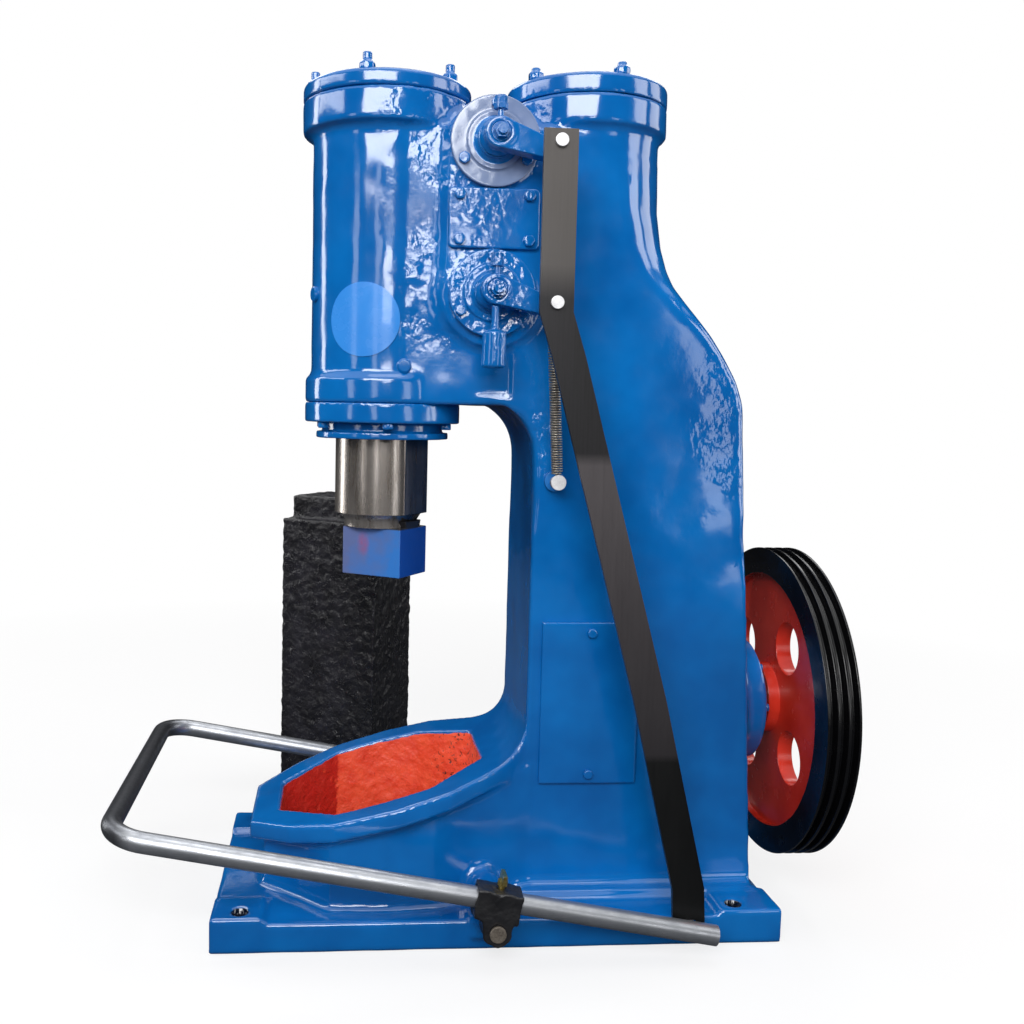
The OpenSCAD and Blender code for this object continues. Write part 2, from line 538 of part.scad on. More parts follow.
module access_cover() color(blue) at_ram() difference() {
  translate([throat + 21, -half_w - 8, 237]) cube([166, 7.95, 275]);
  for (z = [254, 495]) translate([throat + 104, 0, z]) ycyl(5, -half_w - 9, -half_w + 1);
}
module access_cover_bolts() color(blue) at_ram() for (z = [254, 495])
  translate([throat + 104, -half_w - 8, z]) rotate([90, 0, 0]) bolt(15, 7, 5, 20);

module bearing_cover() color(blue) at_ram() translate([0, 0, shaft_z]) difference() {
  union() {
    xcyl(82, boss_x, boss_x + 9);
    xcyl(61.9, boss_x - 14, boss_x + 1);
  }
  xcyl(shaft_d / 2 + 1, boss_x - 20, boss_x + 20);
  for (i = [0:5]) rotate([i * 60 + 30, 0, 0]) translate([0, 0, 72]) xcyl(4.5, boss_x - 1, boss_x + 10);
}
module bearing_cover_bolts() color(blue) at_ram() translate([0, 0, shaft_z])
  for (i = [0:5]) rotate([i * 60 + 30, 0, 0]) translate([boss_x + 9, 0, 72]) rotate([0, 90, 0]) bolt(13, 6, 4.5, 22);

web_x = rim_x + pulley_width / 2;
module crankshaft() color(steel) at_ram() translate([0, 0, shaft_z]) {
  xcyl(shaft_d / 2, back_x - 60, rim_x + pulley_width - 4);
  xcyl(61.8, back_x - 44, boss_x - 15);
  xcyl(48, back_x - 70, back_x - 45);
  xcyl(12, rim_x + pulley_width - 5, rim_x + pulley_width + 22);
}
module pulley() color(red) at_ram() translate([rim_x, 0, shaft_z]) rotate([0, 90, 0]) {
  r = pulley_d / 2;
  w = pulley_width;
  pitch = (w - 3) / groove_count;
  difference() {
    cylinder(r = r, h = w, $fn = 128);
    translate([0, 0, -1]) cylinder(r = r - 47, h = 13, $fn = 96);
    translate([0, 0, w - 18]) cylinder(r = r - 40, h = 20, $fn = 96);
    for (i = [0:groove_count - 1]) translate([0, 0, 1.5 + pitch * (i + 0.5)]) rotate_extrude($fn = 128)
      polygon([[r - 14, -4], [r + 1, -pitch / 2 + 2.4], [r + 1, pitch / 2 - 2.4], [r - 14, 4]]);
    for (i = [0:3]) rotate(i * 90 + 37) translate([r * 0.49, 0, -1]) cylinder(r = r * 0.168, h = w + 2, $fn = 48);
    translate([0, 0, -1]) cylinder(r = 62, h = w + 2, $fn = 64);
  }
  difference() {
    translate([0, 0, -8]) cylinder(r = 63, h = w + 4, $fn = 64);
    translate([0, 0, -9]) cylinder(r = shaft_d / 2, h = w + 8, $fn = 64);
  }
}
module pulley_retainer() color(steel) at_ram() translate([0, 0, shaft_z]) difference() {
  union() {
    xcyl(40, rim_x + pulley_width - 4, rim_x + pulley_width + 2);
    translate([rim_x + pulley_width + 1.9, 0, 0]) rotate([0, 90, 0]) hexhead(36, 16);
  }
  xcyl(12, rim_x, rim_x + pulley_width + 40);
}

module treadle_loop() color(steel) at_ram() difference() {
  bent_tube();
  translate([link_x, 0, link_z]) ycyl(7, -leg_y - tube_r + 3, -leg_y + tube_r + 5);
}
module bent_tube() translate([pivot_x, 0, tube_z]) rotate([0, tube_fall, 0]) {
  rb = 58;
  x0 = -(treadle_reach + pivot_x) / cos(tube_fall);
  x1 = 351 / cos(tube_fall);
  for (s = [-1, 1]) {
    translate([x0 + rb, s * leg_y, 0]) rotate([0, 90, 0]) tube(s < 0 ? x1 - x0 - rb : -x0 - rb + 64);
    translate([x0 + rb, s * (leg_y - rb), 0]) rotate(s < 0 ? 180 : 90)
      rotate_extrude(angle = 90, $fn = 64) translate([rb, 0]) tube2d();
  }
  translate([x0, -leg_y + rb, 0]) rotate([-90, 0, 0]) tube(2 * (leg_y - rb));
}
module tube2d() difference() { circle(tube_r, $fn = 32); circle(tube_r - 3, $fn = 32); }
module tube(l) linear_extrude(l) tube2d();

module treadle_clamp(s) translate([pivot_x, 0, 0]) difference() {
  union() {
    translate([0, s * leg_y - 22, tube_z]) rotate([0, tube_fall, 0]) translate([-34, 0, -28]) cube([72, 44, 48]);
    translate([0, 0, pivot_z]) ycyl(23, s * leg_y - 22, s * leg_y + 22);
    translate([-23, s * leg_y - 22, pivot_z]) cube([46, 44, tube_lift - 20]);
  }
  translate([0, s * leg_y, tube_z]) rotate([0, tube_fall, 0]) translate([-60, 0, 0]) rotate([0, 90, 0])
    cylinder(r = tube_r + 0.05, h = 120, $fn = 64);
  translate([0, 0, pivot_z]) ycyl(10.05, s * leg_y - 40, s * leg_y + 40);
  translate([0, s * leg_y, tube_z]) rotate([0, tube_fall, 0]) translate([4, 0, 10]) cylinder(r = 5.05, h = 40);
}
module near_treadle_clamp() color(black) at_ram() treadle_clamp(-1);
module far_treadle_clamp() color(black) at_ram() treadle_clamp(1);
module pivot_pin(s) translate([pivot_x, 0, pivot_z]) {
  ycyl(9.97, s > 0 ? base_y - 28 : -leg_y - 26, s > 0 ? leg_y + 26 : -base_y + 28);
  ycyl(13, s > 0 ? leg_y + 23 : -leg_y - 28, s > 0 ? leg_y + 28 : -leg_y - 23);
}
module near_pivot_pin() color(dark) at_ram() pivot_pin(-1);
module far_pivot_pin() color(dark) at_ram() pivot_pin(1);
module wing_screw(s) translate([pivot_x, s * leg_y, tube_z]) rotate([0, tube_fall, 0]) translate([4, 0, 0]) {
  translate([0, 0, tube_r + 0.1]) cylinder(r = 5, h = 16);
  translate([0, 0, 25]) cylinder(r = 8, h = 8);
  translate([-3, -15, 30]) cube([6, 30, 14]);
}
module near_wing_screw() color("#c2a54a") at_ram() wing_screw(-1);
module far_wing_screw() color("#c2a54a") at_ram() wing_screw(1);
module treadle_link_pin() color(steel) at_ram() translate([link_x, 0, link_z]) {
  ycyl(7, -leg_y - 3, -bar_y + bar_t + 8);
  ycyl(12, -bar_y + bar_t + 2, -bar_y + bar_t + 9);
}

module anvil_block() color(black) at_ram() translate([2, leg_y + 52, 0]) rotate(-30) {
  c = 16;
  intersection() {
    translate([-anvil_a, 0, 0]) cube([anvil_a, anvil_b, anvil_h]);
    translate([-anvil_a / 2, anvil_b / 2, 0]) {
      translate([0, 0, anvil_h / 2 - 20]) cube([anvil_a + 1, anvil_b + 1, anvil_h - 60], center = true);
      linear_extrude(anvil_h) square([anvil_a - 2 * c, anvil_b - 2 * c], center = true);
      rotate(45) cylinder(r = 1, h = 1);
    }
  }
}

frame_casting();
front_cylinder_cover();
rear_cylinder_cover();
front_cover_bolts();
rear_cover_bolts();
ram_guide_flange();
gland_ring();
guide_flange_bolts();
ram();
upper_die();
die_key();
upper_valve_cover();
lower_valve_cover();
middle_cover_plate();
valve_cover_bolts();
upper_valve_shaft();
lower_valve_shaft();
upper_arm();
lower_arm();
upper_arm_nut();
lower_arm_nut();
upper_clamp_screw();
lower_clamp_screw();
hand_lever();
link_bar();
upper_link_pin();
lower_link_pin();
return_spring();
spring_anchor_pin();
access_cover();
access_cover_bolts();
bearing_cover();
bearing_cover_bolts();
crankshaft();
pulley();
pulley_retainer();
treadle_loop();
near_treadle_clamp();
far_treadle_clamp();
near_pivot_pin();
far_pivot_pin();
near_wing_screw();
far_wing_screw();
treadle_link_pin();
anvil_block();
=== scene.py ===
# %% [markdown]
# # A power hammer in blue enamel
# The hammer is one big casting with two cylinders, a valve gear on its side, a treadle, a belt pulley and a
# separate anvil block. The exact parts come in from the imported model. This lesson dresses them: castings get
# soft, slightly wavy skins, machined parts get eased edges, and every surface gets its own finish.

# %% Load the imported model
import bpy, bmesh, math
from mathutils import Vector, Matrix, noise


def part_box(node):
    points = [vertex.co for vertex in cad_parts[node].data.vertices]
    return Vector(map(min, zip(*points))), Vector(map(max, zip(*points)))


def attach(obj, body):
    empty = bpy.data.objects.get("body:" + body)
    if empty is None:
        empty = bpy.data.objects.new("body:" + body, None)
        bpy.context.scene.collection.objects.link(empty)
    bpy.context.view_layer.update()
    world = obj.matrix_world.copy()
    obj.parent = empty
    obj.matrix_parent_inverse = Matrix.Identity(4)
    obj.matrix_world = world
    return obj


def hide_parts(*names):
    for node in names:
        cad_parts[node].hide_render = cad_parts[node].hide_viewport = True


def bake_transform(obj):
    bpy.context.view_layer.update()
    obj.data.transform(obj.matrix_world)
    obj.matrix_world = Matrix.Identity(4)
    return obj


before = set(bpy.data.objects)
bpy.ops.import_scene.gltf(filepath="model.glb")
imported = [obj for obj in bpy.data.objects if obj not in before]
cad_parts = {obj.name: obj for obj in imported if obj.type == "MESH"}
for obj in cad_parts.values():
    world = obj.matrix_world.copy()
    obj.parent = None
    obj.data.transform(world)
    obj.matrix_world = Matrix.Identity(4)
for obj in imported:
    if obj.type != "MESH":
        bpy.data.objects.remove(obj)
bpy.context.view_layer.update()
scene = bpy.context.scene

# %% [markdown]
# ## View
# The view is from the valve-gear side, a little to the left and at chest height, so the upright edges stay
# parallel. A camera made from three directions is simple to check: right, up and forward are unit vectors.

# %% Camera
right = Vector((0.99656, -0.08049, 0.01986))
up = Vector((-0.01365, 0.07693, 0.99694))
forward = Vector((0.08177, 0.99378, -0.07557))
camera = bpy.data.objects.new("camera", bpy.data.cameras.new("camera"))
scene.collection.objects.link(camera)
camera.matrix_world = Matrix.Translation((-0.25826, -1.85159, 0.86140)) @ Matrix(
    [[right[i], up[i], -forward[i]] for i in range(3)]).to_4x4()
camera.data.lens, camera.data.sensor_width = 37.22, 36
camera.data.shift_x, camera.data.shift_y = 0.0853, -0.0213
scene.camera = camera
scene.view_settings.view_transform = "Standard"
print("camera at", [round(v, 3) for v in camera.matrix_world.translation])

# %% [markdown]
# ## Two small helpers for finishes
# Paint colours are easiest to read as the hex values of a colour card. Blender works in linear light, so one
# function turns each of them. A second one adds a node, with its settings and links, to a material.

# %% Colour and node helpers
def tint(code):
    """Linear RGBA from an sRGB hex colour."""
    c = [int(code[i:i + 2], 16) / 255 for i in (1, 3, 5)]
    return [v / 12.92 if v <= 0.04045 else ((v + 0.055) / 1.055) ** 2.4 for v in c] + [1]


def add(tree, kind, links=None, **settings):
    """Adds a node. Settings name its properties or input sockets; links name the sockets that feed it. An input
    that shares its name with others goes by its number, as in _0."""
    n = tree.nodes.new("ShaderNode" + kind)

    def entry(k):
        return n.inputs[int(k[1:]) if k[0] == "_" and k[1:].isdigit() else k.replace("_", " ")]

    for k, v in settings.items():
        if hasattr(n, k):
            setattr(n, k, v)
        else:
            entry(k).default_value = v
    for k, v in (links or {}).items():
        tree.links.new(v, entry(k))
    return n


def finish_of(name):
    """A new material with its tree, its shader and object coordinates."""
    m = bpy.data.materials.new(name)
    m.use_nodes = True
    t = m.node_tree
    return m, t, t.nodes["Principled BSDF"], add(t, "TexCoord").outputs["Object"]


def grain(t, where, size_mm, stretch=(1, 1, 1), detail=3.0, roughness=0.55):
    """Noise whose lumps are size_mm wide, drawn out by stretch. Gives its value socket."""
    s = 1000 / size_mm
    m = add(t, "Mapping", {"Vector": where}, vector_type="POINT", Scale=[s / k for k in stretch])
    n = add(t, "TexNoise", {"Vector": m.outputs[0]}, Scale=1.0, Detail=detail, Roughness=roughness)
    return n.outputs["Fac"]


def ramp(t, value, low, high, a=0.0, b=1.0):
    """Value mapped from low..high to a..b, held at the ends."""
    return add(t, "MapRange", {"Value": value}, _1=low, _2=high, _3=a, _4=b, clamp=True).outputs[0]


def blend_colour(t, amount, a, b):
    """Colour a where amount is 0, b where it is 1. Each is a hex code or a socket."""
    n = add(t, "Mix", {"_0": amount}, data_type="RGBA")
    for i, c in ((6, a), (7, b)):
        if isinstance(c, str):
            n.inputs[i].default_value = tint(c)
        else:
            t.links.new(c, n.inputs[i])
    return n.outputs[2]


def bumps(t, shader, *layers):
    """Feeds the shader's normal with layers of (height socket, depth in mm), coarsest first."""
    last = None
    for height, depth in layers:
        n = add(t, "Bump", {"Height": height}, Strength=1.0, Distance=depth / 1000)
        if last:
            t.links.new(last, n.inputs["Normal"])
        last = n.outputs[0]
    t.links.new(last, shader.inputs["Normal"])


# %% [markdown]
# ## Blue enamel on a rough casting
# The frame was filled, rubbed down and brushed with thick gloss enamel. The colour is nearly even; what the eye
# sees is the sky in it, broken up by sags, brush runs and the sand-cast skin below. So the colour is quiet, the
# gloss is high, and heights do the work: waves as wide as a hand, lumps the size of a thumb, and orange peel.
# The upper half of the frame was left as it came from the sand, so its lumps are stronger. A mask says where.
# The IOR is a little above that of plain paint, which makes the highlights as crisp as on thick fresh gloss.

# %% Blue enamel
ENAMEL_IOR = 1.72
DEEP_BLUE, FAIR_BLUE = "#055ba4", "#086dba"


def enamel_heights(t, where, waves, lumps, peel):
    """Three heights of brushed enamel with their depths in mm, coarsest first. The lumps come in patches, with
    calm paint between them."""
    patches = ramp(t, grain(t, where, 70, detail=3), 0.47, 0.55, 0.06, 1.0)
    fine = grain(t, where, 14, (1, 1, 1.4), 2, 0.5)
    centred = add(t, "Math", {"_0": fine}, _1=0.5, operation="SUBTRACT").outputs[0]
    broken = add(t, "Math", {"_0": centred, "_1": patches}, operation="MULTIPLY").outputs[0]
    return [(grain(t, where, 75, detail=1), waves), (broken, lumps), (grain(t, where, 5, detail=2), peel)]


def enamel(name, deep, fair, waves=1.2, lumps=0.25, peel=0.03):
    """Gloss enamel of two close colours in clouds, with its three depths in mm."""
    m, t, s, where = finish_of(name)
    cloud = grain(t, where, 160, detail=3)
    t.links.new(blend_colour(t, ramp(t, cloud, 0.35, 0.65), deep, fair), s.inputs["Base Color"])
    s.inputs["IOR"].default_value = ENAMEL_IOR
    t.links.new(ramp(t, grain(t, where, 60, detail=4), 0.3, 0.7, 0.08, 0.16), s.inputs["Roughness"])
    bumps(t, s, *enamel_heights(t, where, waves, lumps, peel))
    return m


blue = enamel("blue_gloss_enamel", DEEP_BLUE, FAIR_BLUE)
rough_blue = enamel("blue_enamel_over_sand_casting", DEEP_BLUE, FAIR_BLUE, 1.8, 3.0, 0.10)
plate_blue = enamel("blue_enamel_on_a_plate", DEEP_BLUE, FAIR_BLUE, 1.5, 1.1, 0.06)
pale = enamel("pale_blue_enamel", "#6c7fa4", "#8092b6", 0.5, 0.10, 0.02)
print("enamels", [m.name for m in (blue, rough_blue, plate_blue, pale)])

# %% [markdown]
# ## Other paints
# The pocket was brushed with orange-red primer that dried in ridges. The pulley's web has the same red in gloss
# and its rim is black. Clamps are dipped in black, and the anvil block keeps its flame-cut scale under thin paint.

# %% Plain paints
def paint(name, deep, fair, rough, *layers, patch=90, coat=0.0):
    """Paint of two close colours in patches. Each layer is (size_mm, depth_mm)."""
    m, t, s, where = finish_of(name)
    colour = blend_colour(t, ramp(t, grain(t, where, patch, detail=4), 0.3, 0.7), deep, fair)
    t.links.new(colour, s.inputs["Base Color"])
    t.links.new(ramp(t, grain(t, where, 30, detail=4), 0.3, 0.7, rough * 0.75, rough * 1.3), s.inputs["Roughness"])
    s.inputs["Coat Weight"].default_value = coat
    bumps(t, s, *[(grain(t, where, size, detail=4), depth) for size, depth in layers])
    return m


clamp_black = paint("black_dipped_cast_iron", "#101012", "#1f1f22", 0.42, (14, 1.6), (5, 0.5))
anvil_black = paint("black_flame_cut_steel", "#0f0e11", "#25242a", 0.30, (18, 3.0), (8, 2.2), (3, 0.7), patch=40)
vinyl = paint("pale_blue_vinyl", "#2f86dd", "#3a92e8", 0.25, (60, 0.1), coat=0.3)
print("paints", [m.name for m in (clamp_black, anvil_black, vinyl)])

# %% [markdown]
# ## Bare steels
# Each bare steel part tells how it was made. The ram is ground and has run in its guide, so its marks run up and
# down. The link bar is hot-rolled flat with long draw marks under a thin black film. The treadle is bare tube,
# dulled by boots, and small pins are turned bright.

# %% Steels
def steel(name, dark, light, rough, stretch, line_mm=0.8, depth=0.03, metallic=1.0, patch=50,
          stain_stretch=(1, 1, 1)):
    """Steel whose fine lines are line_mm wide and drawn out by stretch (x, y, z). Stains are patch mm wide."""
    m, t, s, where = finish_of(name)
    lines = grain(t, where, line_mm * 3, stretch, 5, 0.7)
    stain = grain(t, where, patch, stain_stretch, detail=5)
    both = add(t, "Math", {"_0": lines, "_1": stain}, operation="ADD").outputs[0]
    t.links.new(blend_colour(t, ramp(t, both, 0.75, 1.25), dark, light), s.inputs["Base Color"])
    t.links.new(ramp(t, both, 0.7, 1.3, rough * 1.25, rough * 0.8), s.inputs["Roughness"])
    s.inputs["Metallic"].default_value = metallic
    bumps(t, s, (lines, depth))
    return m


ram_steel = steel("run_in_ram_steel", "#92887f", "#e6ded7", 0.24, (1, 1, 14), 1.6, 0.02, 0.9, patch=26,
                  stain_stretch=(1, 1, 5))
bar_steel = steel("hot_rolled_bar_steel", "#131214", "#232225", 0.42, (1, 1, 40), 1.0, 0.04, 0.4, 70, (1, 1, 3))
tube_steel = steel("bare_steel_tube", "#9b9ea4", "#bcbfc4", 0.34, (12, 1, 1), 1.0, 0.01, 0.85, 30)
bright = steel("turned_bright_steel", "#c4c4c6", "#ececee", 0.42, (1, 6, 1), 0.5, 0.01, 0.45, 12)
worn = steel("worn_pin_steel", "#5d554d", "#948b80", 0.45, (1, 1, 1), 0.8, 0.03, 0.6, 10)
dull = steel("oiled_dark_steel", "#25221f", "#4d463f", 0.4, (1, 1, 1), 1.0, 0.05, 0.8, 14)
zinc = steel("yellow_zinc_plate", "#a58c3e", "#e6d58c", 0.32, (1, 1, 1), 0.8, 0.02, patch=9)
print("steels", [m.name for m in (ram_steel, bar_steel, tube_steel, bright, worn, dull, zinc)])

# %% [markdown]
# ## Painted light and shade, and two-tone paint
# Some bare parts carry painted light and shade in their colour. The link bar has painted reflections: lighter bands
# high up, a darker stretch below them and a near-black foot. The ram gets painted shade where its side turns away,
# the anvil block on its right half and the treadle's cross-piece at its left end. The washer under the spring's pin
# was painted with the column, while the pin's head stayed bare. The boss of the upper valve cover is the darker frame
# blue. In each, a distance on the part itself picks between two colours.

# %% Painted light and shade, and two-tone paint
def tone(material, amount, code):
    """Mixes a flat colour over a finished material's own colour where amount is 1."""
    t = material.node_tree
    socket = t.nodes["Principled BSDF"].inputs["Base Color"]
    t.links.new(blend_colour(t, amount, socket.links[0].from_socket, code), socket)


def place_of(material, axis):
    """The x, y or z socket of the material's object coordinates."""
    t = material.node_tree
    where = next(n for n in t.nodes if n.type == "TEX_COORD").outputs["Object"]
    return t, add(t, "SeparateXYZ", {"Vector": where}).outputs["XYZ".index(axis)]


bar_low, bar_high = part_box("link_bar")
bar_length = bar_high.z - bar_low.z
t, z = place_of(bar_steel, "Z")
# Painted reflections: lighter bands high on the bar, a darker stretch below them and a near-black foot.
bar_painted_light_and_shade = [(0.80, 0.84, 0.0, 0.6, "#5c5855"), (0.60, 0.615, 1.0, 0.0, "#4d494b"),
             (0.24, 0.56, 0.75, 0.0, "#1b191d"), (0.23, 0.24, 0.92, 0.0, "#070909")]
for low, high, at_low, at_high, code in bar_painted_light_and_shade:  # two heights as shares of the bar, and the amount at each
    tone(bar_steel, ramp(t, z, bar_low.z + low * bar_length, bar_low.z + high * bar_length, at_low, at_high), code)

ram_low, ram_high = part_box("ram")
ram_middle = (ram_low.x + ram_high.x) / 2
t, x = place_of(ram_steel, "X")
# Painted shade: the ram turns dark where its side turns away from the light.
tone(ram_steel, ramp(t, x, ram_middle + 0.010, ram_middle + 0.045, 0.0, 0.85), "#1c1e27")
anvil_low, anvil_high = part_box("anvil_block")
anvil_width = anvil_high.x - anvil_low.x
t, x = place_of(anvil_black, "X")
# Painted shade: the anvil block's right half is darker.
tone(anvil_black, ramp(t, x, anvil_low.x + 0.4 * anvil_width, anvil_low.x + 0.6 * anvil_width, 0.0, 0.6), "#050507")
tube_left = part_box("treadle_loop")[0].x
t, x = place_of(tube_steel, "X")
# Painted reflection: the tube is darker at its left end, the cross-piece, as if it showed dark surroundings.
tone(tube_steel, ramp(t, x, tube_left + 0.030, tube_left + 0.055, 0.75, 0.0), "#26282e")

pin_steel = steel("bare_head_and_painted_washer", "#c4c4c6", "#ececee", 0.42, (1, 6, 1), 0.5, 0.01, 0.0, 12)
washer_y, edge_width = -0.133, 0.001
t, y = place_of(pin_steel, "Y")
tone(pin_steel, ramp(t, y, washer_y - edge_width / 2, washer_y + edge_width / 2), FAIR_BLUE)

cover_low, cover_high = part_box("upper_valve_cover")
cover_boss_r = 0.038
t, x = place_of(pale, "X")
centred = add(t, "Mapping", {"Vector": x.node.inputs[0].links[0].from_socket}, vector_type="POINT", Scale=(1, 0, 1),
              Location=(-(cover_low.x + cover_high.x) / 2, 0, -(cover_low.z + cover_high.z) / 2))
radius = add(t, "VectorMath", {"_0": centred.outputs[0]}, operation="LENGTH").outputs["Value"]
tone(pale, ramp(t, radius, cover_boss_r - edge_width / 2, cover_boss_r + edge_width / 2, 1.0, 0.0), FAIR_BLUE)
print("bar", round(bar_length, 3), "m long, anvil", round(anvil_width, 3), "m wide, boss", 2 * cover_boss_r, "m")

# %% [markdown]
# ## The die
# The top die was sprayed a lighter blue over tool steel. Its blue turns violet grey towards the left edge and the
# top, a painted reflection, and faces turned to the right get a darker blue, painted shade. A little red overspray
# from the pocket shows on its front face. The smudge is a soft spot of noise, placed by object coordinates so that it
# stays on the face.

# %% Die paint
die_low, die_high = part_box("upper_die")
die_blue, t, s, where = finish_of("light_blue_sprayed_steel")
apart = add(t, "SeparateXYZ", {"Vector": where})
# Painted reflection: the blue turns violet grey towards the left edge and the top.
thin = add(t, "Math", {"_0": ramp(t, apart.outputs[0], die_low.x, die_low.x + 0.085, 0.9, 0.0),
                       "_1": ramp(t, apart.outputs[2], die_low.z + 0.01, die_high.z, 0.0, 0.35)}, operation="ADD")
uneven = ramp(t, grain(t, where, 24, detail=4), 0.3, 0.7, -0.25, 0.25)
cloudy = add(t, "Math", {"_0": thin.outputs[0], "_1": uneven}, operation="ADD", use_clamp=True)
base = blend_colour(t, cloudy.outputs[0], "#2d74c4", "#5b6a9c")
spot = add(t, "Mapping", {"Vector": where}, vector_type="TEXTURE", Scale=(0.010, 0.03, 0.020),
           Location=(die_low.x + 0.034, die_low.y + 0.02, (die_low.z + die_high.z) / 2 + 0.008))
reach = add(t, "VectorMath", {"_0": spot.outputs[0]}, operation="LENGTH").outputs["Value"]
soft_spot, flecks = ramp(t, reach, 0.2, 1.4, 0.75, 0), ramp(t, grain(t, where, 9), 0.3, 0.6, 0.4, 1)
smudge = add(t, "Math", {"_0": soft_spot, "_1": flecks}, operation="MULTIPLY").outputs[0]
# Above the die's shoulder the colour is near black.
shoulder_z = ram_low.z - 0.002
near_black = ramp(t, apart.outputs[2], shoulder_z, shoulder_z + 0.002)
# Painted shade: faces turned to the right get a darker blue.
facing = add(t, "SeparateXYZ", {"Vector": add(t, "NewGeometry").outputs["True Normal"]}).outputs[0]
base = blend_colour(t, ramp(t, facing, 0.3, 0.6), base, "#0446a0")
t.links.new(blend_colour(t, near_black, blend_colour(t, smudge, base, "#b0303c"), "#17171a"), s.inputs["Base Color"])
s.inputs["Roughness"].default_value = 0.4
bumps(t, s, (grain(t, where, 12), 0.2), (grain(t, where, 3), 0.05))
print("die shoulder at", round(shoulder_z, 4), "m, die from", round(die_low.z, 4), "to", round(die_high.z, 4))

# %% [markdown]
# ## Copies of CAD parts
# The exact parts stay as they are; a finished copy stands for each. A CAD mesh is loose triangles, so a copy is
# merged first. Each finished piece gets its material, the body that it rides on and the part that it stands for.

# %% Copies of CAD parts
def merged_copy(name, *nodes):
    """One new object from copies of CAD nodes, with their loose triangles joined."""
    bm = bmesh.new()
    for n in nodes:
        bm.from_mesh(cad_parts[n].data)
    bmesh.ops.remove_doubles(bm, verts=bm.verts, dist=1e-5)
    return new_piece(name, bm)


def new_piece(name, bm):
    """One new object from a bmesh, which is used up."""
    mesh = bpy.data.meshes.new(name)
    bm.to_mesh(mesh)
    bm.free()
    o = bpy.data.objects.new(name, mesh)
    scene.collection.objects.link(o)
    return o


def settle(o):
    """Makes the object's modifiers part of its mesh."""
    bpy.context.view_layer.update()
    mesh = bpy.data.meshes.new_from_object(o.evaluated_get(bpy.context.evaluated_depsgraph_get()))
    o.modifiers.clear()
    o.data = mesh
    return o


def dress(o, material, body, *nodes):
    """Gives the finished piece its material, its body and the CAD nodes that it stands for."""
    o.data.materials.clear()
    o.data.materials.append(material)
    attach(o, body)
    if nodes:
        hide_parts(*nodes)
    return o


# %% [markdown]
# ## How a machined part is dressed
# A turned or sawn part keeps its shape: the copy's flat faces are made whole, and its corners get a small bevel.
# Weighted normals keep the flat faces looking flat beside the bevels.

# %% Machined skin
CORNER = math.radians(32)  # an edge that bends more than this is a corner


def eased(name, nodes, material, body, width):
    """A copy of the nodes with its corners eased by width mm."""
    o = merged_copy(name, *nodes)
    bm = bmesh.new()
    bm.from_mesh(o.data)
    bmesh.ops.dissolve_limit(bm, angle_limit=math.radians(0.6), verts=bm.verts, edges=bm.edges)
    bm.to_mesh(o.data)
    bm.free()
    b = o.modifiers.new("ease", "BEVEL")
    b.width, b.segments, b.limit_method, b.angle_limit = width / 1000, 2, "ANGLE", CORNER
    b.use_clamp_overlap = True
    settle(o)
    o.data.shade_smooth()
    o.data.set_sharp_from_angle(angle=CORNER)
    flat = o.modifiers.new("flat", "WEIGHTED_NORMAL")
    flat.keep_sharp = True
    settle(o)
    print(name, len(o.data.polygons), "faces")
    return dress(o, material, body, *nodes)


# %% [markdown]
# ## How a casting is dressed
# Sand moulds cannot hold a sharp corner, so a casting's copy is remade from little cubes, smoothed a few times, and
# pushed in and out by a slow noise. That also melts separate masses together, as fillets do on the real pattern.

# %% Cast skin
def wavy(o, height, width):
    """Pushes the surface in and out by up to height mm, over lumps width mm wide."""
    m = o.data
    normals = [v.normal.copy() for v in m.vertices]
    for v, n in zip(m.vertices, normals):
        p = v.co * (1000 / width)
        v.co += n * (noise.noise(p) + 0.5 * noise.noise(p * 2.3 + Vector((7, 3, 1)))) * height / 1000
    m.update()


MELT_ROUNDS = 70


def cast(name, nodes, material, body, voxel, rounds, height, width, most, fillet=0, coat=0, extra=None, ready=None,
         melt=None):
    """A copy of the nodes remade from voxel mm cubes, smoothed rounds times, made wavy by height mm over width mm,
    thinned to most triangles and kept inside the part's box. With a fillet, the copy is first swollen and shrunk
    again by that many mm, which fills its inner corners. A coat is what the paint adds all round, in mm. Extra adds
    to the copy before that, ready works on its skin after that, and melt gives each place a share, 0 to 1, of
    MELT_ROUNDS more rounds of smoothing."""
    o = merged_copy(name, *nodes)
    if extra:
        bm = bmesh.new()
        bm.from_mesh(o.data)
        extra(bm)
        bm.to_mesh(o.data)
        bm.free()
    pushes = (fillet, coat - fillet, 0) if fillet else (0,)
    for push in pushes:
        r = o.modifiers.new("remake", "REMESH")
        r.mode, r.voxel_size = "VOXEL", voxel / 1000
        if push:
            d = o.modifiers.new("push", "DISPLACE")
            d.strength, d.mid_level = push / 1000, 0.0
    f = o.modifiers.new("soften", "SMOOTH")
    f.factor, f.iterations = 0.5, rounds
    settle(o)
    if melt:
        group = o.vertex_groups.new(name="melt")
        for v in o.data.vertices:
            group.add([v.index], melt(v.co), "REPLACE")
        f = o.modifiers.new("melt", "SMOOTH")
        f.factor, f.iterations, f.vertex_group = 0.5, MELT_ROUNDS, "melt"
        settle(o)
    wavy(o, height, width)
    if ready:
        ready(o)
    triangles = 2 * len(o.data.polygons)
    if triangles > most:
        d = o.modifiers.new("thin", "DECIMATE")
        d.ratio = most / triangles
        settle(o)
    low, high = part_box(nodes[0])
    for v in o.data.vertices:
        v.co = [min(max(c, a), b) for c, a, b in zip(v.co, low, high)]
    o.data.shade_smooth()
    print(name, len(o.data.polygons), "faces")
    return dress(o, material, body, *nodes)


# %% [markdown]
# ## The frame casting
# The real frame is one iron casting, hollow for its bores and crank chamber. Its axes and edges are read from the
# boxes of the parts that sit on it, so that the steps below can say where they work.

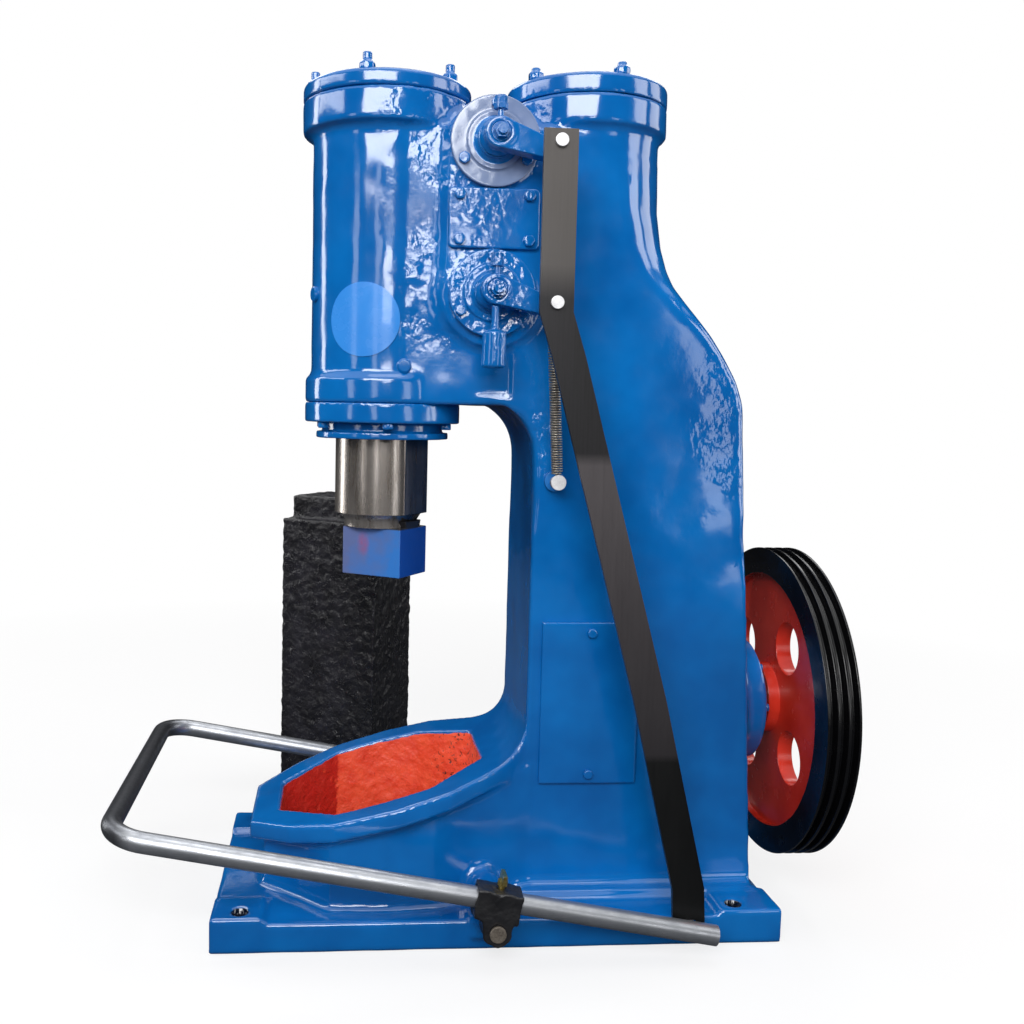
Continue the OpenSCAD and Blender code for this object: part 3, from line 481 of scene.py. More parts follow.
# %% Where things are
lo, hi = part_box("frame_casting")
front_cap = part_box("front_cylinder_cover")
rear_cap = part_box("rear_cylinder_cover")
ram_x = (front_cap[0].x + front_cap[1].x) / 2
rear_x = (rear_cap[0].x + rear_cap[1].x) / 2
throat_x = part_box("access_cover")[0].x - 0.021
side_y = -0.125
shaft_z = sum(v.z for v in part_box("pulley")) / 2
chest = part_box("middle_cover_plate")
valve_x = ram_x + 0.167
valve_z = [sum(v.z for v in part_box(n)) / 2 for n in ("upper_valve_cover", "lower_valve_cover")]
pocket_low, pocket_high = ram_x - 0.168, throat_x - 0.069
print("ram axis x", round(ram_x, 4), "throat x", round(throat_x, 4), "valve heights", [round(z, 3) for z in valve_z])

# %% [markdown]
# ## Plugs
# Only the frame's outside shows, so its copy gets plugs in the openings that covers hide; the ram's bore stays open
# for the ram. Each plug is a bar or a box that ends just below the surface, and melts into it when the skin is made.

# %% Plugs
def rod(bm, radius, start, end):
    """A round bar between two points."""
    a, b = Vector(start), Vector(end)
    turn = (b - a).to_track_quat("Z", "Y").to_matrix().to_4x4()
    made = bmesh.ops.create_cone(bm, cap_ends=True, segments=48, radius1=radius, radius2=radius,
                                 depth=(b - a).length)
    bmesh.ops.transform(bm, matrix=Matrix.Translation((a + b) / 2) @ turn, verts=made["verts"])


def block(bm, low, high):
    """A box between two corners."""
    a, b = Vector(low), Vector(high)
    made = bmesh.ops.create_cube(bm, size=1)
    place = Matrix.Translation((a + b) / 2) @ Matrix.Diagonal((*(b - a), 1))
    bmesh.ops.transform(bm, matrix=place, verts=made["verts"])


def fillings(bm):
    """Plugs for everything that covers hide."""
    rod(bm, 0.100, (rear_x, 0, 0.80), (rear_x, 0, rear_cap[0].z - 0.001))
    block(bm, (throat_x + 0.02, side_y + 0.01, 0.07), (throat_x + 0.34, -side_y - 0.01, 0.80))
    block(bm, (throat_x + 0.04, side_y + 0.001, 0.262), (throat_x + 0.162, 0, 0.488))
    rod(bm, 0.064, (throat_x + 0.25, 0, shaft_z), (hi.x - 0.001, 0, shaft_z))
    for z in valve_z:
        rod(bm, 0.050, (valve_x, chest[1].y + 0.003, z), (valve_x, -0.02, z))
    block(bm, (valve_x - 0.036, chest[1].y + 0.002, valve_z[1] + 0.09), (valve_x + 0.036, -0.02, valve_z[0] - 0.09))


# %% [markdown]
# ## Where the primer ends
# The primer stops just below the pocket's rim. Each vertex of the skin keeps one number: how far it lies inside the
# primed area, in metres, with a minus sign outside. The number changes evenly across a face, so the shader can draw
# a line between the two paints that is much finer than the faces. The rim is a slanting plane, so the depth below
# it is its height at that x less the point's own. Walls that face away from the pocket are not in it.

# %% Depth in the pocket
RIM_SLOPE = math.tan(math.radians(15))
rim_start = (ram_x - 0.217, 0.160)
OUTSIDE, PRIMER_GAP = -0.01, 0.006


def depth_in_pocket(c, n):
    """How far a point on the skin lies below the primer's edge; negative outside the pocket."""
    if not (pocket_low - 0.003 < c.x < pocket_high + 0.004 and abs(c.y) < 0.164) or n.z > 0.85:
        return OUTSIDE
    inwards = Vector((ram_x + 0.01 - c.x, -c.y, 0)).normalized()
    if n.dot(inwards) < 0.15 and c.z > 0.03:
        return OUTSIDE
    return rim_start[1] + (c.x - rim_start[0]) * RIM_SLOPE - PRIMER_GAP - c.z


print("the rim rises from", rim_start[1], "m by", round(RIM_SLOPE, 3), "m in each metre")

# %% [markdown]
# ## Where the sand shows
# The foundry rubbed the lower half smooth and left the upper half as it came from the sand. A second number says how
# sandy each vertex is. It is a product of even steps along x, y and z, which fades out at every border, with patches
# of noise in it and one calm spot. Two later repairs, one at the throat and one at the shoulder, are soft ovals.

# %% Sandy places
def step(value, low, high):
    """0 below low, 1 above high, even between them; low may be the larger one."""
    return min(max((value - low) / (high - low), 0), 1)


def sandy_places(c, n):
    """How much of the sand's roughness was left, 0 to 1: on the upper half round the chest, and in two repairs."""
    upper = step(c.z, 0.95, 1.00) * step(c.x, 0.09, 0.03) * step(c.x, ram_x - 0.03, ram_x + 0.05)
    patch = step(noise.noise(c * 8 + Vector((3, 0, 1))), -0.12, 0.12)
    calm = step(math.hypot((c.x - ram_x - 0.027) / 0.052, (c.z - 1.19) / 0.060), 0.7, 1.15)
    total = upper * (0.45 + 0.55 * patch) * (0.06 + 0.94 * calm)
    for x, z, wide, tall, share in [(throat_x + 0.010, 0.85, 0.022, 0.10, 1.0),
                                    (hi.x - 0.105, 0.86, 0.055, 0.17, 0.6)]:
        repair = step(math.hypot((c.x - x) / wide, (c.z - z) / tall), 1.15, 0.6) * step(-n.y, 0.6, 0.9)
        total = max(total, share * repair)
    return total * step(c.y, 0.03, -0.03)


# %% [markdown]
# ## What the skin gets
# The noise of a sand mould and the ridges of thick primer are real shapes, so the skin's vertices are pushed along
# their normals. The column's sides also fall away a little towards the back edge, as the pattern was given draft
# there. The back edge is curved, so its x is first looked up level by level, and then blended between the levels.
# Swelling and shrinking closes small holes, so the foundation holes are drilled again at the end.

# %% Details of the skin
LEVEL, NEAR = 0.012, 4  # height of a level in metres, and from how many levels away it stops counting
FALL, FALL_WIDTH = 0.006, 0.085  # how far the sides fall away, and over what width, in metres
LUMP = 0.0013  # height of the largest lumps, in metres
BOLT_X, BOLT_Y, BOLT_HOLE_R = 0.405, 0.198, 0.013


def frame_details(o):
    """Sand lumps, ridges in the pocket, a flat underside, and sides that fall away towards the back edge."""
    mesh = o.data
    edge = {}
    for v in mesh.vertices:
        level = round(v.co.z / LEVEL)
        if abs(v.co.y) > abs(side_y) - 0.02:
            edge[level] = max(edge.get(level, lo.x), v.co.x)
    normals = [v.normal.copy() for v in mesh.vertices]
    for v, n in zip(mesh.vertices, normals):
        c = v.co.copy()
        at = c.z / LEVEL
        near = [(edge[i], NEAR - abs(at - i)) for i in range(int(at) - NEAR + 1, int(at) + NEAR + 1) if i in edge]
        if near and abs(c.y) > 0.05:
            back_edge = sum(x * w for x, w in near) / sum(w for x, w in near)
            turn = step(c.x, back_edge - FALL_WIDTH, back_edge) * step(c.z, 0.42, 0.62) * step(c.z, 1.26, 1.16)
            v.co.y -= math.copysign(FALL * turn * turn, c.y) * step(abs(c.y), 0.05, abs(side_y))
        rough = sandy_places(c, n)
        if rough > 0:
            v.co += n * rough * LUMP * (noise.noise(c * 42) + 0.6 * noise.noise(c * 95))
        if depth_in_pocket(c, n) > PRIMER_GAP:
            v.co += n * LUMP * (noise.noise(c * 80) + 0.8 * noise.noise(c * 160))
        if c.z < 0.004:
            v.co.z = max(v.co.z, 0.0) * 0.3
    mesh.update()


def soft_places(c):
    """Where the pattern was rounded most, 0 to 1: the back of the shoulder, the throat's edge, beside the chest."""
    shoulder = step(c.x, 0.19, 0.23) * step(c.z, 0.60, 0.66) * step(c.z, 1.10, 1.04)
    throat = step(abs(c.x - throat_x), 0.035, 0.020) * step(c.z, 0.66, 0.72) * step(c.z, 0.96, 0.92)
    hollow = step(c.x, ram_x + 0.03, ram_x + 0.06) * step(c.x, chest[0].x + 0.004, chest[0].x - 0.008)
    hollow *= step(c.z, 0.88, 0.92) * step(c.z, 1.32, 1.29) * step(c.y, -0.02, -0.021)
    return max(shoulder, throat, hollow)


def bolt_holes(o):
    """Drills the four foundation holes again."""
    bm = bmesh.new()
    for x in (-BOLT_X, BOLT_X):
        for y in (-BOLT_Y, BOLT_Y):
            rod(bm, BOLT_HOLE_R, (x, y, -0.02), (x, y, 0.12))
    drill = new_piece("drill", bm)
    cut = o.modifiers.new("holes", "BOOLEAN")
    cut.object, cut.operation, cut.solver = drill, "DIFFERENCE", "MANIFOLD"
    settle(o)
    bpy.data.objects.remove(drill)


def finish_frame(o):
    """All that the skin gets before it is thinned."""
    frame_details(o)
    bolt_holes(o)


# %% [markdown]
# ## The skin
# The copy with its plugs is swollen by 10 mm and shrunk back, which fills every inner corner with the round that a
# pattern maker's leather fillet leaves. A third number, for the walls of the drilled holes, joins the other two; they
# are stored once the skin is thinned, because thinning moves the vertices.

# %% Frame skin
def keep_numbers(o):
    """Stores the three numbers that the frame's material reads."""
    # Marks the walls of the foundation holes, which get painted shade.
    def hole_wall(c):
        return step(math.hypot(abs(c.x) - BOLT_X, abs(c.y) - BOLT_Y), BOLT_HOLE_R + 0.0015, BOLT_HOLE_R + 0.0005)

    points = o.data.vertices
    for name, values in [("primer_depth", [depth_in_pocket(v.co, v.normal) for v in points]),
                         ("near_black", [hole_wall(v.co) for v in points]),
                         ("sandy", [sandy_places(v.co, v.normal) for v in points])]:
        o.data.attributes.new(name, "FLOAT", "POINT").data.foreach_set("value", values)


casting = cast("frame_skin", ["frame_casting"], rough_blue, "frame_body", voxel=3.2, rounds=3, height=0.9, width=80,
               most=190000, fillet=10, extra=fillings, ready=finish_frame, melt=soft_places)
keep_numbers(casting)

# %% [markdown]
# ## The frame's finish
# One material carries both paints of the frame. The enamel's lumps grow stronger where the sandy number is high. The
# primer is matt, orange where it lies thick, chipped at the column end, and deeper red on the walls turned to the
# right, which is painted shade. The walls of the bolt holes are near black, painted shade in the holes.

# %% Enamel and primer
skin, t, s, where = finish_of("frame_enamel_and_primer")
s.inputs["IOR"].default_value = ENAMEL_IOR
inside = add(t, "Attribute", attribute_name="primer_depth").outputs["Fac"]
wander = ramp(t, grain(t, where, 18, detail=3), 0.3, 0.7, -0.0016, 0.0016)
brushed = add(t, "Math", {"_0": inside, "_1": wander}, operation="ADD").outputs[0]
primed = ramp(t, brushed, -0.0004, 0.0004)
cloud = ramp(t, grain(t, where, 160, detail=3), 0.35, 0.65)
thick = ramp(t, grain(t, where, 30, detail=5), 0.35, 0.65)
specks = ramp(t, grain(t, where, 7, detail=4), 0.60, 0.64)
apart = add(t, "SeparateXYZ", {"Vector": where})
column_end = ramp(t, apart.outputs[0], pocket_high - 0.075, pocket_high - 0.045)
chipped = add(t, "Math", {"_0": specks, "_1": column_end}, operation="MULTIPLY").outputs[0]
facing = add(t, "SeparateXYZ", {"Vector": add(t, "NewGeometry").outputs["True Normal"]}).outputs[0]
primer = blend_colour(t, chipped, blend_colour(t, thick, "#e23e1c", "#f5562f"), "#4a1c14")
# Painted shade: pocket walls turned to the right get a deeper red.
primer = blend_colour(t, ramp(t, facing, 0.30, 0.50, 0.0, 0.85), primer, "#b90d05")
# Painted shade: the walls of the bolt holes are near black.
enamelled = blend_colour(t, add(t, "Attribute", attribute_name="near_black").outputs["Fac"],
                         blend_colour(t, cloud, DEEP_BLUE, FAIR_BLUE), "#030d1f")
t.links.new(blend_colour(t, primed, enamelled, primer), s.inputs["Base Color"])
gloss = ramp(t, grain(t, where, 60, detail=4), 0.3, 0.7, 0.08, 0.16)
both = add(t, "Math", {"_0": gloss, "_1": ramp(t, primed, 0, 1, 0.0, 0.45)}, operation="ADD").outputs[0]
t.links.new(both, s.inputs["Roughness"])
sandy = add(t, "Attribute", attribute_name="sandy").outputs["Fac"]
heights = [height for height, depth in enamel_heights(t, where, 1.0, 1.0, 1.0)]
layers = []
for height, calm, strong, in_primer in zip(heights, (1.2, 0.22, 0.03), (1.8, 3.6, 0.14), (0.3, 1.6, 1.3)):
    on_enamel, on_primer = ramp(t, sandy, 0, 1, calm, strong), ramp(t, primed, 0, 1, 0, in_primer)
    share = add(t, "Math", {"_0": on_enamel, "_1": on_primer}, operation="ADD").outputs[0]
    layers.append((add(t, "Math", {"_0": height, "_1": share}, operation="MULTIPLY").outputs[0], 1.0))
bumps(t, s, *layers)
casting.data.materials[0] = skin
print(skin.name, len(t.nodes), "nodes")

# %% [markdown]
# ## Cast and thickly painted parts
# Covers, flanges, arms and clamps are smaller castings. Finer cubes keep their bolt seats and rims. The anvil block
# was cut by flame from a thick bar, so its waves are deep and short.

# %% Small castings
for name, nodes, mat, body, voxel, rounds, height, width, most in [
        ("front_cover_skin", ["front_cylinder_cover"], blue, "frame_body", 2.6, 3, 0.35, 50, 40000),
        ("rear_cover_skin", ["rear_cylinder_cover"], blue, "frame_body", 2.6, 3, 0.35, 50, 40000),
        ("guide_flange_skin", ["ram_guide_flange"], blue, "frame_body", 2.6, 3, 0.4, 40, 50000),
        ("gland_skin", ["gland_ring"], blue, "frame_body", 2.0, 3, 0.3, 30, 40000),
        ("upper_valve_cover_skin", ["upper_valve_cover"], pale, "frame_body", 1.5, 3, 0.25, 35, 50000),
        ("lower_valve_cover_skin", ["lower_valve_cover"], rough_blue, "frame_body", 1.5, 3, 0.6, 18, 50000),
        ("middle_plate_skin", ["middle_cover_plate"], plate_blue, "frame_body", 1.6, 3, 0.6, 26, 40000),
        ("access_cover_skin", ["access_cover"], blue, "frame_body", 2.0, 3, 0.3, 60, 40000),
        ("bearing_cover_skin", ["bearing_cover"], blue, "frame_body", 2.0, 3, 0.3, 30, 40000),
        ("upper_arm_skin", ["upper_arm"], blue, "upper_valve_body", 1.4, 4, 0.3, 25, 40000),
        ("lower_arm_skin", ["lower_arm"], rough_blue, "lower_valve_body", 1.4, 4, 0.5, 16, 40000),
        ("hand_lever_skin", ["hand_lever"], rough_blue, "lower_valve_body", 1.2, 3, 0.3, 14, 20000),
        ("near_clamp_skin", ["near_treadle_clamp"], clamp_black, "treadle_body", 1.6, 26, 2.2, 20, 30000),
        ("far_clamp_skin", ["far_treadle_clamp"], clamp_black, "treadle_body", 1.6, 26, 2.2, 20, 30000),
        ("anvil_skin", ["anvil_block"], anvil_black, "frame_body", 3.4, 2, 2.0, 15, 160000)]:
    cast(name, nodes, mat, body, voxel, rounds, height, width, most)

# %% [markdown]
# ## Painted nuts and screws
# The bolts were painted with the frame. Each coat rounds a hexagon's corners and fills the corner at its foot, so
# bolts are made as castings are, with a small fillet and a coat. Studs out in the open got the thickest paint.

# %% Painted nuts and screws
for name, node, coat in [("front_cover_studs", "front_cover_bolts", 1.2),
                         ("rear_cover_studs", "rear_cover_bolts", 1.2),
                         ("guide_flange_screws", "guide_flange_bolts", 0.6),
                         ("valve_cover_screws", "valve_cover_bolts", 0.3),
                         ("access_cover_screws", "access_cover_bolts", 0.3),
                         ("bearing_cover_screws", "bearing_cover_bolts", 0.3)]:
    cast(name, [node], rough_blue, "frame_body", 1.4, 2, 0.3, 9, 40000, fillet=2.2, coat=coat)

# %% [markdown]
# ## Machined parts
# Pins, shafts, dies and the tube keep their exact shape. Only their corners are eased, by a millimetre or so, enough
# to catch a line of light.

# %% Machined copies
for name, nodes, mat, body, width in [
        ("ram_eased", ["ram"], ram_steel, "ram_body", 1.2),
        ("upper_die_eased", ["upper_die"], die_blue, "ram_body", 1.6),
        ("die_key_eased", ["die_key"], dull, "ram_body", 0.8),
        ("upper_spindle", ["upper_valve_shaft"], blue, "upper_valve_body", 1.0),
        ("lower_spindle", ["lower_valve_shaft"], rough_blue, "lower_valve_body", 1.0),
        ("upper_nut", ["upper_arm_nut"], blue, "upper_valve_body", 1.2),
        ("lower_nut", ["lower_arm_nut"], rough_blue, "lower_valve_body", 1.2),
        ("upper_arm_screw", ["upper_clamp_screw"], blue, "upper_valve_body", 1.4),
        ("lower_arm_screw", ["lower_clamp_screw"], rough_blue, "lower_valve_body", 1.4),
        ("upper_pin", ["upper_link_pin"], bright, "upper_valve_body", 1.2),
        ("lower_pin", ["lower_link_pin"], bright, "lower_valve_body", 1.2),
        ("link_bar_eased", ["link_bar"], bar_steel, "link_body", 1.0),
        ("anchor_pin", ["spring_anchor_pin"], pin_steel, "frame_body", 1.2),
        ("shaft_eased", ["crankshaft"], bright, "shaft_body", 1.0),
        ("pulley_nut", ["pulley_retainer"], dull, "shaft_body", 1.2),
        ("treadle_tube", ["treadle_loop"], tube_steel, "treadle_body", 0.6),
        ("near_pin", ["near_pivot_pin"], worn, "frame_body", 1.4),
        ("far_pin", ["far_pivot_pin"], worn, "frame_body", 1.4),
        ("near_wing", ["near_wing_screw"], zinc, "treadle_body", 1.6),
        ("far_wing", ["far_wing_screw"], zinc, "treadle_body", 1.6),
        ("link_foot_pin", ["treadle_link_pin"], bright, "treadle_body", 1.2)]:
    eased(name, nodes, mat, body, width)

# %% [markdown]
# ## Pulley
# A cast pulley is painted twice: red all over, then the rim is blacked with a brush while the wheel turns, so the
# edge between them is a clean circle. One material holds both paints and picks by the distance from the shaft.

# %% Pulley
rim_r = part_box("pulley")[1].z - shaft_z
wheel, t, s, where = finish_of("red_and_black_gloss_paint")
cross = add(t, "Mapping", {"Vector": where}, vector_type="POINT", Location=(0, 0, -shaft_z), Scale=(0, 1, 1))
radius = add(t, "VectorMath", {"_0": cross.outputs[0]}, operation="LENGTH").outputs["Value"]
wander = ramp(t, grain(t, where, 60), 0.3, 0.7, -0.001, 0.001)
brushed = add(t, "Math", {"_0": radius, "_1": wander}, operation="ADD").outputs[0]
blacked = ramp(t, brushed, rim_r - 0.047, rim_r - 0.046)
web = blend_colour(t, ramp(t, grain(t, where, 90, detail=4), 0.3, 0.7), "#bc2416", "#d83a28")
t.links.new(blend_colour(t, blacked, web, "#08080a"), s.inputs["Base Color"])
t.links.new(ramp(t, grain(t, where, 30, detail=4), 0.3, 0.7, 0.16, 0.30), s.inputs["Roughness"])
bumps(t, s, (grain(t, where, 40, detail=3), 0.6), (grain(t, where, 8, detail=3), 0.1))
eased("pulley_wheel", ["pulley"], wheel, "shaft_body", 1.2)

# %% [markdown]
# ## Return spring
# A tension spring is one length of wire: a closed coil with a hook bent at each end. Its centre line is easy to
# write down as a curve, and a round bevel gives the wire its thickness. Sweeping a profile is what curves are best
# at, so the curve is turned into a mesh at the end.

# %% Spring wire
top_box, foot_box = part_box("lower_link_pin"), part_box("spring_anchor_pin")
top_pin = Vector((sum(v.x for v in top_box) / 2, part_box("lower_arm")[0].y - 0.024, sum(v.z for v in top_box) / 2))
foot_pin = Vector((sum(v.x for v in foot_box) / 2, side_y - 0.026, sum(v.z for v in foot_box) / 2))
WIRE_R, COIL_R, HOOK_R = 0.0014, 0.0086, 0.0108
TURNS, PER_TURN, EASE_POINTS = 56, 12, 9
out = Vector((0, 1, 0))
axis = (top_pin - foot_pin).normalized()
side = axis.cross(out).normalized()
reach = (top_pin - foot_pin).length
start, stop = 0.0125, reach - 0.046


def hook(pin, along, angles):
    """Points round a pin, from the angle at which the wire meets it."""
    return [pin + along * HOOK_R * math.cos(math.radians(a)) + side * HOOK_R * math.sin(math.radians(a))
            for a in angles]


def coil_point(i):
    """Point i of the coil. Its radius grows from nothing over the first points, and shrinks over the last."""
    last = TURNS * PER_TURN
    a = i * math.tau / PER_TURN
    r = COIL_R * min(1.0, i / EASE_POINTS, (last - i) / EASE_POINTS)
    return foot_pin + axis * (start + (stop - start) * i / last) + (side * math.cos(a) + out * math.sin(a)) * r


path = hook(foot_pin, axis, range(50, 361, 18)) + [coil_point(i) for i in range(TURNS * PER_TURN + 1)]
path += [top_pin - axis * d for d in (0.040, 0.033, 0.026, 0.018)] + hook(top_pin, -axis, range(0, 311, 18))
print("spring path", len(path), "points, pins", round(reach, 3), "m apart")

# %% [markdown]
# ## Spring mesh
# The wire's curve has one open spline with filled ends, so its mesh is closed.

# %% Spring mesh
curve = bpy.data.curves.new("spring_wire", "CURVE")
curve.dimensions, curve.bevel_depth, curve.bevel_resolution, curve.resolution_u = "3D", WIRE_R, 2, 2
curve.use_fill_caps = True
line = curve.splines.new("NURBS")
line.points.add(len(path) - 1)
for p, c in zip(line.points, path):
    p.co = (*c, 1)
line.use_endpoint_u, line.order_u = True, 3
drawn = bpy.data.objects.new("drawn_wire", curve)
scene.collection.objects.link(drawn)
bpy.context.view_layer.update()
mesh = bpy.data.meshes.new_from_object(drawn.evaluated_get(bpy.context.evaluated_depsgraph_get()))
bpy.data.objects.remove(drawn)
spring = bpy.data.objects.new("tension_spring", mesh)
scene.collection.objects.link(spring)
spring.data.shade_smooth()
spring.data.materials.append(steel("oiled_spring_wire", "#6a645c", "#b0a89c", 0.35, (1, 1, 1), 0.8, 0.02, 0.7, 10))
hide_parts("return_spring")
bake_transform(spring)
print("spring", len(mesh.polygons), "faces")

# %% [markdown]
# ## Small things on the frame
# A round vinyl disc is stuck on the front cylinder; it stays plain. It starts as a flat round sheet of small squares
# so that it can be wrapped onto the cylinder, and is then given its thickness.

# %% Vinyl disc
cylinder_r, disc_thick = 0.1245, 0.0012
disc_z, disc_r, disc_turn = 1.006, 0.060, math.radians(-18)
bm = bmesh.new()
bmesh.ops.create_grid(bm, x_segments=36, y_segments=36, size=1)
for v in bm.verts:
    x, y = v.co.x, v.co.y
    across, height = disc_r * x * math.sqrt(1 - y * y / 2), disc_r * y * math.sqrt(1 - x * x / 2)
    a = across / cylinder_r + disc_turn
    r = cylinder_r + disc_thick
    v.co = Vector((ram_x + math.sin(a) * r, -math.cos(a) * r, disc_z + height))
bmesh.ops.recalc_face_normals(bm, faces=bm.faces)
disc = new_piece("vinyl_disc", bm)
thick = disc.modifiers.new("thick", "SOLIDIFY")
thick.thickness, thick.offset = disc_thick, 0
settle(disc).data.shade_smooth()
disc.data.set_sharp_from_angle(angle=math.radians(35))
dress(disc, vinyl, "frame_body")
print("disc", 2 * disc_r, "m across at height", disc_z)

# %% [markdown]
# ## Oil plug and boss
# An oil plug sits in the web below the cylinder, and a threaded boss stands on the cylinder's left side. Both are
# lathe work: an outline of radius and distance, spun round its axis.

# %% Oil plug and boss
def spun(bm, outline, centre, along):
    """Spins (radius, distance) points round an axis through centre."""
    turn = Vector(along).to_track_quat("Z", "Y").to_matrix().to_4x4()
    place = Matrix.Translation(centre) @ turn
    verts = [bm.verts.new(place @ Vector((r, 0, h))) for r, h in outline]
    edges = [bm.edges.new(pair) for pair in zip(verts, verts[1:])]
    bmesh.ops.spin(bm, geom=verts + edges, cent=centre, axis=place.to_3x3() @ Vector((0, 0, 1)), dvec=(0, 0, 0),
                   angle=math.tau, steps=32, use_merge=True, use_duplicate=False)
    bmesh.ops.remove_doubles(bm, verts=bm.verts, dist=1e-6)
    bmesh.ops.recalc_face_normals(bm, faces=bm.faces)


leftwards = Vector((-math.cos(math.radians(20)), -math.sin(math.radians(20)), 0))
boss_foot = Vector((ram_x, 0, 1.052)) + leftwards * cylinder_r
plug_foot = Vector((ram_x + 0.029, side_y + 0.006, 0.932))
for name, centre, along, outline in [
        ("oil_plug", plug_foot, (0, -1, 0), [(0, 0.009), (0.009, 0.0088), (0.012, 0.006), (0.0125, 0.0),
                                             (0.017, -0.001), (0.017, -0.012), (0, -0.012)]),
        ("cylinder_side_boss", boss_foot, leftwards, [(0, 0.006), (0.011, 0.006), (0.0125, 0.0045),
                                                      (0.0125, -0.012), (0, -0.012)])]:
    bm = bmesh.new()
    spun(bm, outline, centre, along)
    turned = new_piece(name, bm)
    turned.data.shade_smooth()
    turned.data.set_sharp_from_angle(angle=math.radians(35))
    dress(turned, blue, "frame_body")
    print(name, len(turned.data.polygons), "faces")

# %% [markdown]
# ## Studio
# The hammer stands on a large pale floor in a white room. Light Path tells a material which kind of ray asks: the
# camera sees the floor near white with the hammer's shadow on it, while the light that the floor throws up onto the
# hammer stays modest.

# %% Floor and world
bm = bmesh.new()
bmesh.ops.create_grid(bm, x_segments=8, y_segments=8, size=30)
floor = new_piece("floor", bm)
floor_paint, t, s, where = finish_of("pale_studio_floor")
s.inputs["Roughness"].default_value = 0.9
s.inputs["Specular IOR Level"].default_value = 0.1
reach = add(t, "VectorMath", {"_0": where}, operation="LENGTH").outputs["Value"]
ray = add(t, "LightPath")
shown = blend_colour(t, ramp(t, reach, 1.6, 6.0), "#f4f4f5", "#ffffff")
t.links.new(blend_colour(t, ray.outputs["Is Camera Ray"], "#565658", shown), s.inputs["Base Color"])
glow = add(t, "Emission", Color=(1, 1, 1, 1), Strength=1.0)
seen = add(t, "Math", {"_0": ray.outputs["Is Camera Ray"], "_1": ray.outputs["Is Glossy Ray"]}, operation="MAXIMUM")
share = add(t, "Math", {"_0": seen.outputs[0], "_1": ramp(t, reach, 1.2, 3.0, 0.72, 1.0)}, operation="MULTIPLY")
both = add(t, "MixShader", {"_0": share.outputs[0], "_1": s.outputs[0], "_2": glow.outputs[0]})
t.links.new(both.outputs[0], t.nodes["Material Output"].inputs["Surface"])
floor.data.materials.append(floor_paint)

world = bpy.data.worlds.new("studio")
scene.world = world
world.use_nodes = True
t = world.node_tree
back = t.nodes["Background"]
ray = add(t, "LightPath").outputs
first = add(t, "Math", {"_0": ray["Is Camera Ray"], "_1": ray["Is Transmission Ray"]}, operation="MAXIMUM")
seen = add(t, "Math", {"_0": first.outputs[0], "_1": ray["Is Glossy Ray"]}, operation="MAXIMUM")
t.links.new(ramp(t, seen.outputs[0], 0, 1, 0.14, 1.0), back.inputs["Strength"])
back.inputs["Color"].default_value = (1, 1, 1, 1)
print("floor", round(floor.dimensions.x), "m wide")

# %% [markdown]
# ## Dark cloth
# Gloss enamel is a dark mirror: what it shows is the room. Dark cloth round a glossy machine keeps its own colour
# deep. The cloth here is a ring that only glossy rays meet, so the background stays white. The floor has the same
# for its reflection.

# %% Dark cloth
CLOTH_R, CLOTH_HEIGHT = 4.6, 4.2


def cloth(name, bm, colour):
    """A piece of cloth that shows in glossy surfaces only."""
    o = new_piece(name, bm)
    m, t, s, where = finish_of(name)
    s.inputs["Base Color"].default_value = tint(colour)
    s.inputs["Roughness"].default_value = 1.0
    s.inputs["Specular IOR Level"].default_value = 0.0
    o.data.materials.append(m)
    o.visible_camera = o.visible_diffuse = o.visible_transmission = o.visible_shadow = False


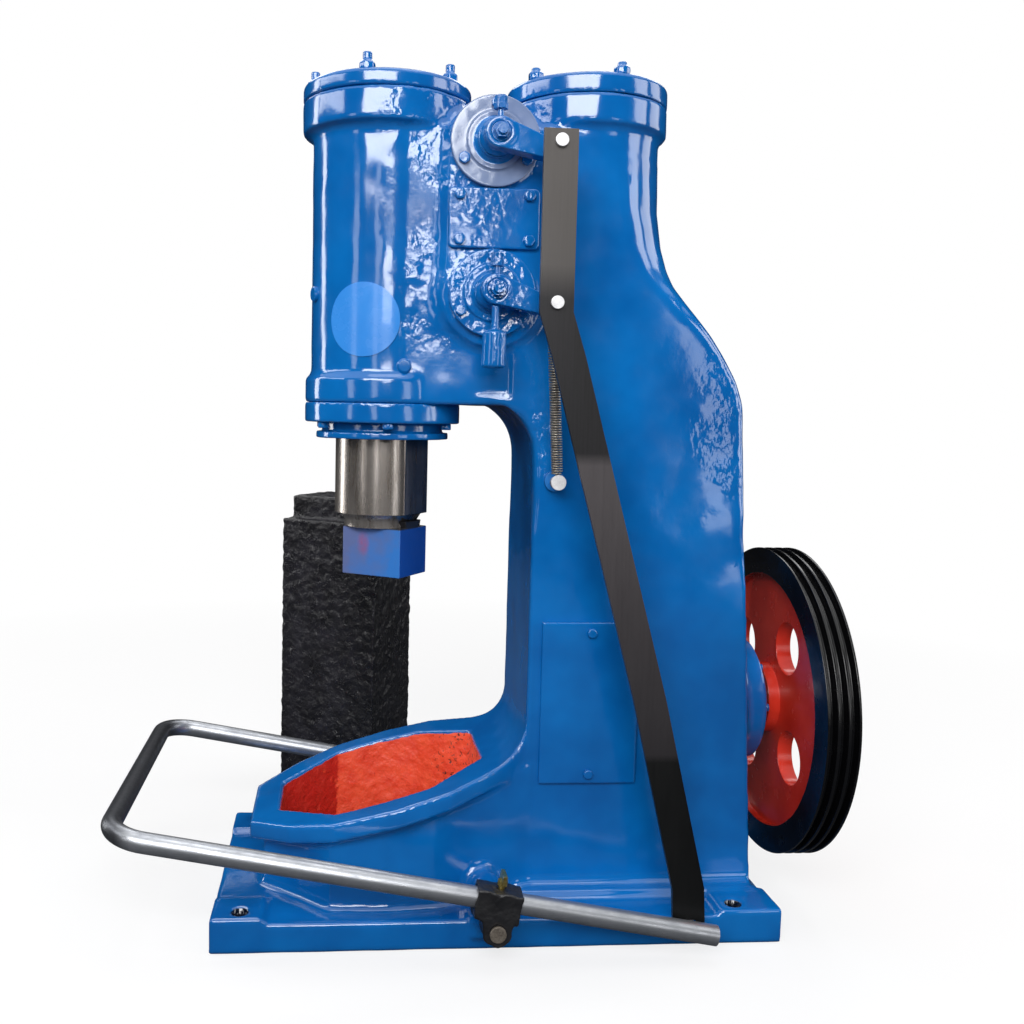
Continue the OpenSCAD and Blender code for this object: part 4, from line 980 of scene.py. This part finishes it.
bm = bmesh.new()
made = bmesh.ops.create_cone(bm, cap_ends=False, segments=96, radius1=CLOTH_R, radius2=CLOTH_R, depth=CLOTH_HEIGHT)
bmesh.ops.translate(bm, vec=(0, 0, CLOTH_HEIGHT / 2), verts=made["verts"])
bmesh.ops.reverse_faces(bm, faces=bm.faces)
cloth("surround_cloth", bm, "#222327")
bm = bmesh.new()
bmesh.ops.create_circle(bm, cap_ends=True, segments=96, radius=CLOTH_R)
just_above_floor = 0.0004
bmesh.ops.translate(bm, vec=(0, 0, just_above_floor), verts=bm.verts)
cloth("floor_cloth", bm, "#46484c")
print("cloth ring", CLOTH_R, "m from the middle,", CLOTH_HEIGHT, "m high")

# %% [markdown]
# ## Lamps
# Large bright panels stand in front of the cloth and above it, where they draw crisp white shapes on the round parts.
# A lamp's power is its brightness times its area, so a panel can be made larger without looking brighter. One more
# panel hangs overhead as the ceiling.

# %% Lamps
aim = Vector((0, 0, 0.8))


def lamp_panel(name, width, height, brightness, place):
    """A rectangular lamp at a place, facing down until it is turned."""
    lamp = bpy.data.lights.new(name, "AREA")
    lamp.shape, lamp.size, lamp.size_y = "RECTANGLE", width, height
    lamp.energy = brightness * math.pi * width * height
    o = bpy.data.objects.new(name, lamp)
    scene.collection.objects.link(o)
    o.location, o.visible_camera = place, False
    print(name, [round(v, 2) for v in place], round(lamp.energy), "W")
    return o


def panel(name, azimuth, low, high, distance, width, brightness):
    """An upright panel between two heights, facing the hammer. Azimuth 0 is in front, positive to the right."""
    a = math.radians(azimuth)
    place = Vector((math.sin(a) * distance, -math.cos(a) * distance, (low + high) / 2))
    o = lamp_panel(name, width, high - low, brightness, place)
    o.matrix_world = Matrix.Translation(place) @ (place - aim).to_track_quat("Z", "Y").to_matrix().to_4x4()


panel("front_window", -15, 1.98, 3.30, 3.5, 2.8, 10.5)
panel("front_card", -1, 1.27, 1.68, 3.5, 0.85, 11.0)
panel("front_door", -18, 0.60, 1.90, 3.5, 0.40, 2.4)
panel("front_left_door", -50, 0.60, 1.90, 3.5, 0.45, 2.4)
panel("left_slit", -112, 0.10, 2.90, 3.6, 0.6, 6.0)
panel("left_skylight", -84, 2.35, 2.95, 3.6, 2.8, 5.0)
panel("right_door", 31, 0.35, 1.60, 3.5, 0.7, 2.4)
panel("right_window", 70, 0.45, 2.90, 3.6, 1.2, 4.2)
panel("far_right_window", 99, 0.45, 2.90, 3.6, 1.3, 3.0)
panel("back_left_window", -150, 2.95, 4.10, 3.0, 2.4, 3.0)
panel("back_right_window", 150, 2.95, 4.10, 3.0, 2.4, 3.0)
lamp_panel("ceiling", 2.4, 2.0, 2.1, (0.1, -0.3, 4.4))
